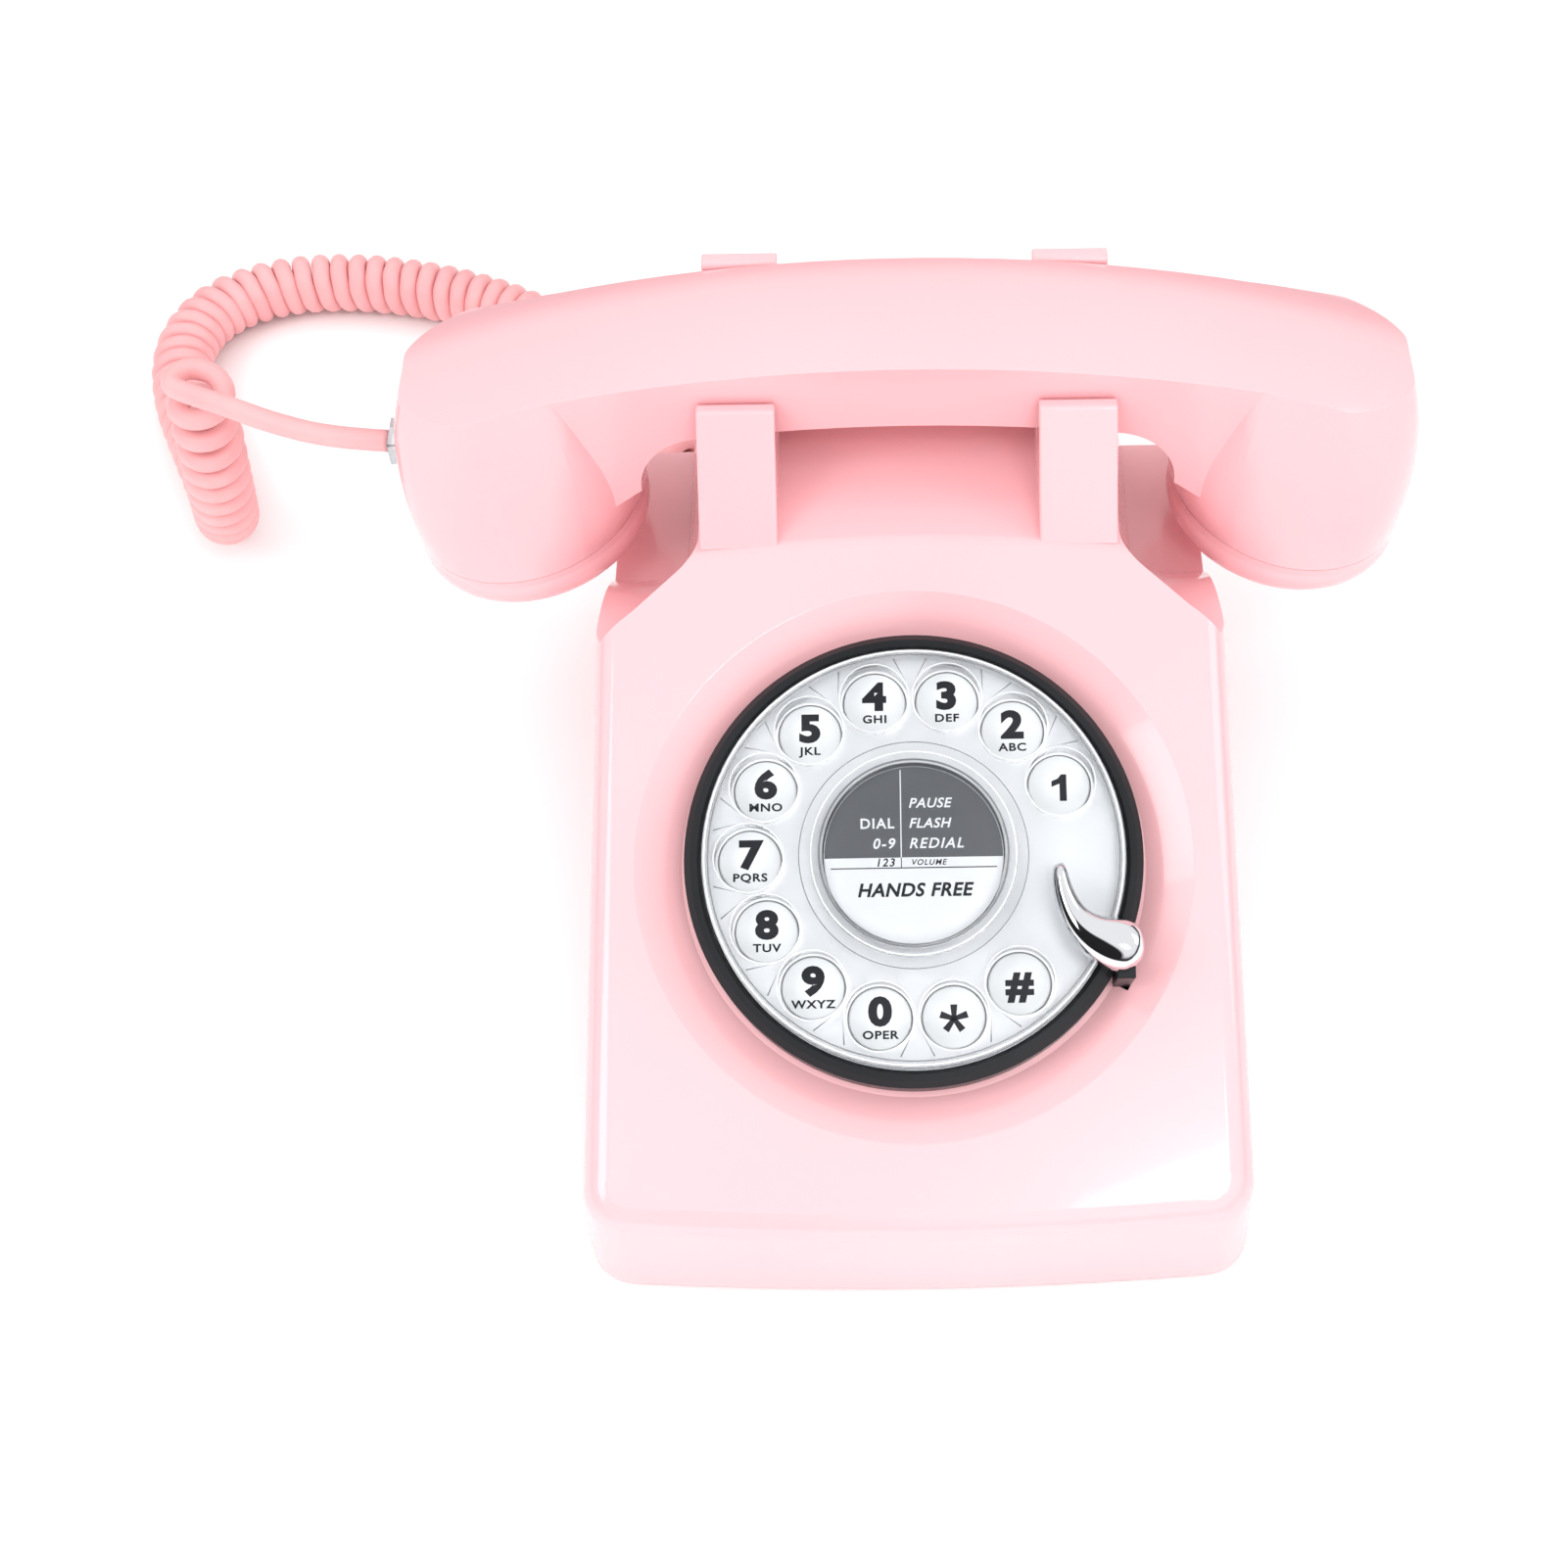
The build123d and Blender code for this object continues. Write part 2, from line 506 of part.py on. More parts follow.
with BuildPart() as dial_number_plate:
    with BuildSketch(dial_plane.offset(PLATE_LOW)):
        Circle(COVER_RADIUS + 0.1)
        with Locations(*key_points):
            Circle(KEY_RADIUS + 0.3, mode=Mode.SUBTRACT)
        Circle(8, mode=Mode.SUBTRACT)
    extrude(amount=PLATE_HIGH - PLATE_LOW)
finish(dial_number_plate, "dial_number_plate")

with BuildPart() as dial_cover:
    with BuildSketch(dial_section) as section:
        with BuildLine():
            Polyline((COLLAR_INNER, COVER_LOW), (COVER_RADIUS - 1.2, COVER_LOW),
                     (COVER_RADIUS - 1.2, PLATE_HIGH + 0.1), (COVER_RADIUS, PLATE_HIGH + 0.1),
                     (COVER_RADIUS, COVER_TOP - 1), (COVER_RADIUS - 1, COVER_TOP),
                     (COLLAR_OUTER + 2.4, COVER_TOP), (COLLAR_OUTER, COVER_TOP + 0.9),
                     (COLLAR_OUTER - 0.3, COLLAR_TOP), (COLLAR_INNER, COLLAR_TOP), close=True)
        make_face()
    revolve(axis=dial_axis)
    with BuildSketch(dial_plane.offset(PLATE_HIGH)):
        with Locations(*key_points):
            Circle(FINGER_HOLE_RADIUS)
    extrude(amount=COVER_TOP, mode=Mode.SUBTRACT)
    mouths = dial_cover.edges().filter_by(GeomType.CIRCLE).filter_by(
        lambda edge: abs(edge.radius - FINGER_HOLE_RADIUS) < 0.01
        and (edge.arc_center - dial_plane.origin).dot(dial_plane.z_dir) > COVER_TOP - 0.5)
    fillet(mouths, 0.35)
finish(dial_cover, "dial_cover")

for name, (u, v) in zip(KEY_NAMES, key_points):
    with BuildPart() as key:
        with BuildSketch(dial_plane.offset(PLATE_LOW - 1.5)):
            with Locations((u, v)):
                Circle(KEY_RADIUS + 0.8)
        extrude(amount=1.2)
        with BuildSketch(dial_plane.offset(-1)):
            with Locations((u, v)):
                Circle(KEY_RADIUS)
        extrude(amount=KEY_TOP + 1)
        top_face = key.faces().sort_by(dial_axis)[-1]
        fillet(top_face.edges(), 0.4)
        with BuildSketch(dial_plane.offset(-2.6)):
            with Locations((u, v)):
                Circle(2)
        extrude(amount=1.8)
    finish(key, f"key_{name}")

with BuildPart() as key_mat:
    add(dial_disc(HOUSING_WALL_INNER - 0.3, -6.6, -5.6, 9))
    with BuildSketch(dial_plane.offset(-5.6)):
        with Locations(*key_points):
            Circle(4)
    extrude(amount=1.6, taper=20)
finish(key_mat, "key_mat")

with BuildPart() as dial_circuit_board:
    add(dial_disc(HOUSING_WALL_INNER - 0.2, -8.3, -6.7))
finish(dial_circuit_board, "dial_circuit_board")

with BuildPart() as button_switch:
    with BuildSketch(dial_plane.offset(-6.6)):
        RectangleRounded(10, 10, 1)
    extrude(amount=2.2)
    with BuildSketch(dial_plane.offset(-4.4)):
        Circle(3)
    extrude(amount=0.8)
finish(button_switch, "button_switch")

with BuildPart() as button_stem:
    with BuildSketch(dial_section):
        with BuildLine():
            Polyline((0, -1.9), (4, -1.9), (4, 5.2), (17.6, 5.2), (17.6, 4.0), (BUTTON_RADIUS, 4.0),
                     (BUTTON_RADIUS, 9.0), (0, 9.0), close=True)
        make_face()
    revolve(axis=dial_axis)
finish(button_stem, "button_stem")

with BuildPart() as button_label:
    add(dial_disc(LABEL_RADIUS, 9.02, 9.4))
finish(button_label, "button_label")

crown_angle = math.degrees(math.asin(BUTTON_RADIUS / CROWN_RADIUS))
crown_edge = BUTTON_TOP - CROWN_RADIUS + math.sqrt(CROWN_RADIUS**2 - BUTTON_RADIUS**2)
with BuildPart() as button_cap:
    with BuildSketch(dial_section):
        with BuildLine():
            CenterArc((0, BUTTON_TOP - CROWN_RADIUS), CROWN_RADIUS, 90 - crown_angle, crown_angle)
            Polyline((BUTTON_RADIUS, crown_edge), (BUTTON_RADIUS, 9.02), (LABEL_RADIUS + 0.05, 9.02),
                     (LABEL_RADIUS + 0.05, 9.45), (0, 9.45), (0, BUTTON_TOP))
        make_face()
    revolve(axis=dial_axis)
    fillet(button_cap.faces().sort_by(dial_axis)[-1].edges(), 1.5)
finish(button_cap, "button_cap")

with BuildPart() as finger_stop:
    with BuildSketch(dial_plane.offset(STOP_LOW)):
        with BuildLine():
            Spline((31.8, -3.0), (33.0, -7.4), (35.4, -11.8), (38.8, -14.0), (43.4, -14.6), (47.0, -16.8))
            ThreePointArc((47.0, -16.8), (47.6, -21.0), (44.6, -23.9))
            Spline((44.6, -23.9), (40.6, -23.5), (36.4, -20.9), (32.4, -16.2), (30.0, -9.8), (29.1, -3.5))
            ThreePointArc((29.1, -3.5), (30.3, -2.1), (31.8, -3.0))
        make_face()
    extrude(amount=STOP_THICKNESS)
    fillet(finger_stop.faces().sort_by(dial_axis)[-1].edges(), 0.55)
    with BuildSketch(dial_plane.offset(STOP_BOTTOM)):
        with Locations(Location(stop_stem_point, STOP_ANGLE)):
            Rectangle(STOP_STEM_WIDTH, STOP_STEM_WIDTH)
    extrude(amount=STOP_LOW + 0.6 - STOP_BOTTOM)
finish(finger_stop, "finger_stop")

with BuildPart() as redial_switch:
    with BuildSketch(dial_plane.offset(STOP_BOTTOM - 6)):
        with Locations(Location((stop_stem_point[0] + 1.5, stop_stem_point[1] - 1), STOP_ANGLE)):
            Rectangle(9, 12)
    extrude(amount=4.6)
finish(redial_switch, "redial_switch")

# ---------------------------------------------------------------- hook switch
with BuildPart() as hook_plungers:
    add(upright(plunger_points, PLUNGER_RADIUS, BAR_TOP - 1, PLUNGER_TOP))
    fillet(hook_plungers.faces().group_by(Axis.Z)[-1].edges(), 1.2)
    add(block((-PRONG_X - 4.5, PRONG_X + 4.5), (PLUNGER_Y - 5, PLUNGER_Y + 5), (BAR_TOP - 4, BAR_TOP)))
finish(hook_plungers, "hook_plungers")

with BuildPart() as hook_springs:
    with BuildSketch(Plane.XY.offset(BRACKET_TOP)):
        with Locations((-24, PLUNGER_Y), (24, PLUNGER_Y)):
            Circle(4)
            Circle(2.8, mode=Mode.SUBTRACT)
    extrude(amount=BAR_TOP - 4 - BRACKET_TOP)
finish(hook_springs, "hook_springs")

with BuildPart() as hook_bracket:
    add(block((-43, 43), (PLUNGER_Y - 6, PLUNGER_Y + 5), (BRACKET_TOP - 2.5, BRACKET_TOP)))
    for side in (-1, 1):
        inner, outer = sorted((side * 40.5, side * 43))
        add(block((inner, outer), (PLUNGER_Y - 6, PLUNGER_Y + 5), (PLATE_TOP + 0.1, BRACKET_TOP)))
finish(hook_bracket, "hook_bracket")

with BuildPart() as hook_microswitch:
    add(block((-10, 10), (PLUNGER_Y - 3.2, PLUNGER_Y + 3.2), (BRACKET_TOP, BRACKET_TOP + 8)))
    add(block((-2, 2), (PLUNGER_Y - 1.5, PLUNGER_Y + 1.5), (BRACKET_TOP + 8, BRACKET_TOP + 9.4)))
finish(hook_microswitch, "hook_microswitch")

# ---------------------------------------------------------------- handset
def grip_profile(inset, low=GRIP_BOTTOM):
    """The grip seen from the front: arched underside that turns down into the two housings."""
    under_radius = ARCH_RADIUS - (GRIP_EDGE_TOP - low) + inset
    centre_z = GRIP_EDGE_TOP - ARCH_RADIUS
    arch_x, leg_x, leg_z = 46.5 + inset * 0.2, 60.5 + inset, 85.5
    low_x, low_z = leg_x + 8, 79.0 + inset
    arch_z = centre_z + math.sqrt(under_radius**2 - arch_x**2)
    turn = leg_x - arch_x
    end = GRIP_END - inset
    with BuildSketch(Plane.XZ.offset(-HANDSET_Y)) as profile:
        with BuildLine():
            ThreePointArc((-arch_x, arch_z), (0, low + inset), (arch_x, arch_z))
            ThreePointArc((arch_x, arch_z), (arch_x + turn * 0.707, leg_z + (arch_z - leg_z) * 0.707),
                          (leg_x, leg_z))
            Polyline((leg_x, leg_z), (low_x, low_z), (end, low_z), (end, 130), (-end, 130), (-end, low_z),
                     (-low_x, low_z), (-leg_x, leg_z))
            ThreePointArc((-leg_x, leg_z), (-arch_x - turn * 0.707, leg_z + (arch_z - leg_z) * 0.707),
                          (-arch_x, arch_z))
        make_face()
    return profile.sketch


def crown_barrel(inset):
    """Everything under the arched and crowned back of the handset."""
    half, drop = GRIP_WIDTH / 2, GRIP_CROWN
    crown_radius = (half**2 + drop**2) / (2 * drop)
    reach = 32.0
    top = GRIP_EDGE_TOP + GRIP_CROWN - inset
    edge = top - crown_radius + math.sqrt(crown_radius**2 - reach**2)
    axis_z = GRIP_EDGE_TOP - ARCH_RADIUS
    with BuildPart() as barrel:
        with BuildSketch(Plane.YZ):
            with BuildLine():
                ThreePointArc((HANDSET_Y - reach, edge), (HANDSET_Y, top), (HANDSET_Y + reach, edge))
                Polyline((HANDSET_Y + reach, edge), (HANDSET_Y + reach, axis_z), (HANDSET_Y - reach, axis_z),
                         (HANDSET_Y - reach, edge))
            make_face()
        revolve(axis=Axis((0, HANDSET_Y, axis_z), (0, 1, 0)))
    return barrel.part


def seam_plane(side, offset=0.0):
    """The plane where a cap meets its housing; its normal points up the housing and outwards."""
    tilt = math.radians(CAP_TILT)
    normal = (side * math.sin(tilt), 0, math.cos(tilt))
    origin = (side * CAP_X + offset * normal[0], HANDSET_Y, CAP_SEAM_Z + offset * normal[2])
    return Plane(origin=origin, x_dir=(math.cos(tilt), 0, -side * math.sin(tilt)), z_dir=normal)


def end_outline(inset):
    """One end of the grip seen from above, squared at the back and cut off at the front corner."""
    half = GRIP_WIDTH / 2 - inset
    end = GRIP_END - inset
    return [(98 - inset / 2, -half), (end, -7.5), (end, 6), (100.5 - inset / 2, half)]


def housing(side, inset):
    """The housing over one cap: round at the cap, full in the middle, squared where it meets the grip."""
    half = GRIP_WIDTH / 2 - 0.3 - inset
    outline = [(77 + inset, -half)] + end_outline(inset + 0.3) + [(77 + inset, half)]
    waist = WAIST_OUTER - WAIST_INNER
    with BuildPart() as cone:
        with BuildSketch(seam_plane(side, -0.5 if inset else 0)):
            Circle(CAP_RADIUS - inset)
        with BuildSketch(Plane.XY.offset(WAIST_Z)):
            with Locations((side * (WAIST_OUTER + WAIST_INNER) / 2, HANDSET_Y)):
                RectangleRounded(waist - 2 * inset, 2 * (WAIST_HALF_DEPTH - inset), WAIST_CORNER - inset)
        with BuildSketch(Plane.XY.offset(HOUSING_TOP)) as top:
            with BuildLine():
                Polyline(*[(side * x, HANDSET_Y + y) for x, y in outline], close=True)
            make_face()
            fillet(top.vertices(), 2.5)
        loft()
    return cone.part


def handset_body(inset):
    """Grip and both housings as one solid; inset moves every wall inwards."""
    right = [(x, HANDSET_Y + y) for x, y in end_outline(inset)]
    left = [(-x, y) for x, y in reversed(right)]
    with BuildPart() as body:
        extrude(grip_profile(inset), amount=GRIP_WIDTH / 2 - inset, both=True)
        with BuildSketch(Plane.XY.offset(60)):
            with BuildLine():
                Polyline(*right, *left, close=True)
            make_face()
        extrude(amount=80, mode=Mode.INTERSECT)
        for side in (-1, 1):
            add(housing(side, inset))
        add(crown_barrel(inset), mode=Mode.INTERSECT)
    return body.part


def lower_band(half_width):
    """The layer along the underside of the grip, between its two legs, that is moulded separately."""
    with BuildPart() as band:
        extrude(grip_profile(0) - grip_profile(LOWER_SHELL), amount=half_width, both=True)
        add(block((-LOWER_SHELL_REACH, LOWER_SHELL_REACH), (HANDSET_Y - half_width, HANDSET_Y + half_width),
                  (60, 120)), mode=Mode.INTERSECT)
    return band.part


with BuildPart() as handset_upper_shell:
    add(handset_body(0))
    add(handset_body(SHELL_WALL), mode=Mode.SUBTRACT)
    add(lower_band(GRIP_WIDTH / 2 - SHELL_WALL), mode=Mode.SUBTRACT)
    add(block((SOCKET_FACE_X - 5, SOCKET_FACE_X + 15.5), (HANDSET_Y - 6.4, HANDSET_Y + 6.4),
              (CORD_EXIT_Z - 5.4, CORD_EXIT_Z + 5.4)), mode=Mode.SUBTRACT)
finish(handset_upper_shell, "handset_upper_shell")

with BuildPart() as handset_lower_shell:
    add(handset_body(0))
    add(lower_band(GRIP_WIDTH / 2 - SHELL_WALL - 0.1), mode=Mode.INTERSECT)
    screw_seats = [(-HANDSET_SCREW_X, HANDSET_Y), (HANDSET_SCREW_X, HANDSET_Y)]
    add(upright(screw_seats, 1.5, 100, 110), mode=Mode.SUBTRACT)
    add(upright(screw_seats, 2.7, 100, HANDSET_SCREW_Z + 1.3), mode=Mode.SUBTRACT)
finish(handset_lower_shell, "handset_lower_shell")


def cap(side, label):
    """A screw-on cap on the tilted seam plane, with sound holes in its face."""
    plane = seam_plane(side)
    section = Plane(origin=plane.origin, x_dir=plane.x_dir, z_dir=(0, -1, 0))
    axis = Axis(plane.origin, plane.z_dir)
    low, edge = -CAP_HEIGHT, CAP_RADIUS - 1.4
    with BuildPart() as body:
        with BuildSketch(section):
            with BuildLine():
                Polyline((CAP_RADIUS, -0.15), (CAP_RADIUS, -2.0))
                ThreePointArc((CAP_RADIUS, -2.0), (edge - 0.2, low + 1.9), (edge - 5, low))
                Polyline((edge - 5, low), (14, low + 0.7), (0, low + 0.7), (0, low + 3), (20, low + 3),
                         (CAP_RADIUS - SHELL_WALL, -4), (CAP_RADIUS - SHELL_WALL, -0.15), (CAP_RADIUS, -0.15))
            make_face()
        revolve(axis=axis)
        with BuildSketch(seam_plane(side, low - 1)):
            Circle(1.1)
            with PolarLocations(5.5, 6):
                Circle(1.1)
        extrude(amount=6, mode=Mode.SUBTRACT)
    finish(body, label)


def capsule(side, label, height):
    """The round receiver or microphone unit in one housing."""
    with BuildPart() as body:
        with BuildSketch(seam_plane(side, -3)):
            Circle(21)
        extrude(amount=height)
        with BuildSketch(seam_plane(side, -3 + height)):
            Circle(12)
        extrude(amount=4)
    finish(body, label)


cap(-1, "earpiece_cap")
cap(1, "mouthpiece_cap")
capsule(-1, "receiver_capsule", 8)
capsule(1, "microphone_capsule", 6)

with BuildPart() as handset_weight:
    add(block((-16, 16), (HANDSET_Y - 11, HANDSET_Y + 11), (GRIP_BOTTOM + 3, GRIP_BOTTOM + 14)))
    chamfer(handset_weight.edges().filter_by(Axis.X), 1)
finish(handset_weight, "handset_weight")

with BuildPart() as handset_screws:
    for x in (-HANDSET_SCREW_X, HANDSET_SCREW_X):
        add(screw(x, HANDSET_Y, HANDSET_SCREW_Z, 2.4, 1.2, 1.2, 8))
finish(handset_screws, "handset_screws")

with BuildPart() as handset_socket:
    add(block((SOCKET_FACE_X, SOCKET_FACE_X + 15), (HANDSET_Y - 6.2, HANDSET_Y + 6.2),
              (CORD_EXIT_Z - 5.2, CORD_EXIT_Z + 5.2)))
    add(block((SOCKET_FACE_X - 1, SOCKET_FACE_X + 12.5),
              (HANDSET_Y - PLUG_WIDTH / 2 - 0.15, HANDSET_Y + PLUG_WIDTH / 2 + 0.15),
              (CORD_EXIT_Z - PLUG_HEIGHT / 2 - 0.15, CORD_EXIT_Z + PLUG_HEIGHT / 2 + 0.15)), mode=Mode.SUBTRACT)
finish(handset_socket, "handset_socket")

with BuildPart() as handset_plug:
    add(block((PLUG_FACE_X, SOCKET_FACE_X + 12), (HANDSET_Y - PLUG_WIDTH / 2, HANDSET_Y + PLUG_WIDTH / 2),
              (CORD_EXIT_Z - PLUG_HEIGHT / 2, CORD_EXIT_Z + PLUG_HEIGHT / 2)))
    fillet(handset_plug.edges().filter_by(Axis.X), 0.6)
finish(handset_plug, "handset_plug")

# ---------------------------------------------------------------- handset cord
def rounded_path(points):
    """Straight runs joined by tangent arcs, each as large as its two runs allow."""
    corners = [Vector(*p) for p in points]
    radii = []
    for before, here, after in zip(corners, corners[1:], corners[2:]):
        arriving, leaving = here - before, after - here
        half_turn = math.radians(arriving.get_angle(leaving)) / 2
        radii.append(0.45 * min(arriving.length, leaving.length) / math.tan(half_turn))
    print("radii", [round(r, 1) for r in radii])
    return FilletPolyline(*points, radius=radii)


def tube(points, radius, label):
    """A round tube along a rounded path, with its volume compared with section times length."""
    with BuildPart() as solid:
        with BuildLine() as line:
            rounded_path(points)
        path = line.wires()[0]
        with BuildSketch(Plane(origin=path @ 0, z_dir=path % 0)):
            Circle(radius)
        sweep(path=path)
    expected = math.pi * radius**2 * path.length
    print(label, "length", round(path.length, 1), "volume ratio", round(solid.part.volume / expected, 4))
    finish(solid, label)


tube(lead_route, CORD_RADIUS, "cord_lead")
tube(coil_route, COIL_RADIUS, "cord_coil")
tube(tail_route, CORD_RADIUS, "cord_tail")

with BuildPart() as base_plug:
    add(block((CORD_SOCKET_X - PLUG_WIDTH / 2, CORD_SOCKET_X + PLUG_WIDTH / 2), (REAR - 15, BASE_PLUG_FACE_Y),
              (SOCKET_Z - PLUG_HEIGHT / 2, SOCKET_Z + PLUG_HEIGHT / 2)))
    fillet(base_plug.edges().filter_by(Axis.Y), 0.6)
finish(base_plug, "base_plug")
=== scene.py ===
import json
import math

import bpy
from mathutils import Matrix, Vector


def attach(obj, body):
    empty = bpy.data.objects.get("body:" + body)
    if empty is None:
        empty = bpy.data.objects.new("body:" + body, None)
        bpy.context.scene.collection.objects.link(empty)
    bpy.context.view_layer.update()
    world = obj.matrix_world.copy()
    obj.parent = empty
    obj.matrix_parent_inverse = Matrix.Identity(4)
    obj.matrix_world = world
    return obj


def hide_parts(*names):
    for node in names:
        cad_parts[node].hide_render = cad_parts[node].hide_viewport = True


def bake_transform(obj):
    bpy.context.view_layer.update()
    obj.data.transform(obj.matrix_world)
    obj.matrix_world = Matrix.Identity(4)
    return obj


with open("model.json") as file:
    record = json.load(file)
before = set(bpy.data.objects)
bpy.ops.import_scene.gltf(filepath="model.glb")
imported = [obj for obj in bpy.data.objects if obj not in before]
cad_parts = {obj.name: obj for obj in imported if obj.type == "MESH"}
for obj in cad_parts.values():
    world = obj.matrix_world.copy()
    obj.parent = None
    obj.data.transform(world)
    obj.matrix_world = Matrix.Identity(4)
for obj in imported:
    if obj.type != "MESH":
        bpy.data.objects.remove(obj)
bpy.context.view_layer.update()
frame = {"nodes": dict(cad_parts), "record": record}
MM = 0.001

# ---------------------------------------------------------------- camera
ELEVATION, ROLL, DISTANCE = math.radians(52.5), math.radians(0.9), 0.5225
TARGET = Vector((0, -0.0153, 0.067))
away = Vector((0, -math.cos(ELEVATION), math.sin(ELEVATION)))
camera_data = bpy.data.cameras.new("camera")
camera_data.lens = 55.65
camera_data.sensor_width = 36
camera_data.shift_x = -0.082
camera_data.clip_start, camera_data.clip_end = 0.01, 20
camera = bpy.data.objects.new("camera", camera_data)
camera.rotation_mode = "QUATERNION"
camera.rotation_quaternion = (away.to_track_quat("Z", "Y") @ Matrix.Rotation(-ROLL, 3, "Z").to_quaternion())
camera.location = TARGET + away * DISTANCE
bpy.context.collection.objects.link(camera)
bpy.context.scene.camera = camera
bpy.context.scene.view_settings.view_transform = "Standard"


# ---------------------------------------------------------------- node helpers
def nodes_of(name):
    """A new node material, its node tree and its Principled shader."""
    material = bpy.data.materials.new(name)
    material.use_nodes = True
    tree = material.node_tree
    return material, tree, tree.nodes["Principled BSDF"]


def add(tree, kind, **values):
    """A new node, with its own properties or its inputs set by name."""
    node = tree.nodes.new(kind)
    for key, value in values.items():
        if hasattr(node, key):
            setattr(node, key, value)
        else:
            node.inputs[key].default_value = value
    return node


def noise(tree, scale, detail, roughness=0.5, stretch=(1, 1, 1)):
    place = add(tree, "ShaderNodeTexCoord")
    mapping = add(tree, "ShaderNodeMapping")
    mapping.inputs["Scale"].default_value = stretch
    texture = add(tree, "ShaderNodeTexNoise", Scale=scale, Detail=detail, Roughness=roughness)
    tree.links.new(place.outputs["Object"], mapping.inputs["Vector"])
    tree.links.new(mapping.outputs["Vector"], texture.inputs["Vector"])
    return texture


def spread(tree, source, low, high, start=0.3, end=0.7):
    """The source's value, carried from start..end to low..high."""
    scale = add(tree, "ShaderNodeMapRange")
    for key, value in (("From Min", start), ("From Max", end), ("To Min", low), ("To Max", high)):
        scale.inputs[key].default_value = value
    tree.links.new(source, scale.inputs["Value"])
    return scale.outputs["Result"]


def two_tone(tree, source, dark, light):
    """A colour that goes from dark to light as the source goes from 0 to 1."""
    mix = add(tree, "ShaderNodeMix", data_type="RGBA")
    first, second = (socket for socket in mix.inputs if socket.type == "RGBA")
    first.default_value, second.default_value = (*dark, 1), (*light, 1)
    tree.links.new(source, mix.inputs["Factor"])
    return next(socket for socket in mix.outputs if socket.type == "RGBA")


def surface(name, dark, light, rough, grain=900, relief=0.02, mottle=18, metal=0.0, coat=0.0, through=0.0,
            ior=1.46, glow=0.0, shine=0.5, stretch=(1, 1, 1)):
    """Moulded or metal surface: two close tones, roughness that varies, and a fine grain."""
    material, tree, shader = nodes_of(name)
    patches = noise(tree, mottle, 4.0)
    fine = noise(tree, grain, 2.0, 0.6, stretch)
    tree.links.new(two_tone(tree, spread(tree, patches.outputs["Fac"], 0, 1), dark, light),
                   shader.inputs["Base Color"])
    tree.links.new(spread(tree, fine.outputs["Fac"], rough[0], rough[1]), shader.inputs["Roughness"])
    bump = add(tree, "ShaderNodeBump", Strength=relief, Distance=0.0002)
    tree.links.new(fine.outputs["Fac"], bump.inputs["Height"])
    tree.links.new(bump.outputs["Normal"], shader.inputs["Normal"])
    shader.inputs["Metallic"].default_value = metal
    shader.inputs["Coat Weight"].default_value = coat
    shader.inputs["Coat Roughness"].default_value = 0.04
    shader.inputs["Transmission Weight"].default_value = through
    shader.inputs["IOR"].default_value = ior
    shader.inputs["Specular IOR Level"].default_value = shine
    if glow:
        shader.inputs["Subsurface Weight"].default_value = glow
        shader.inputs["Subsurface Radius"].default_value = (1.0, 0.5, 0.5)
        shader.inputs["Subsurface Scale"].default_value = 0.003
    return material


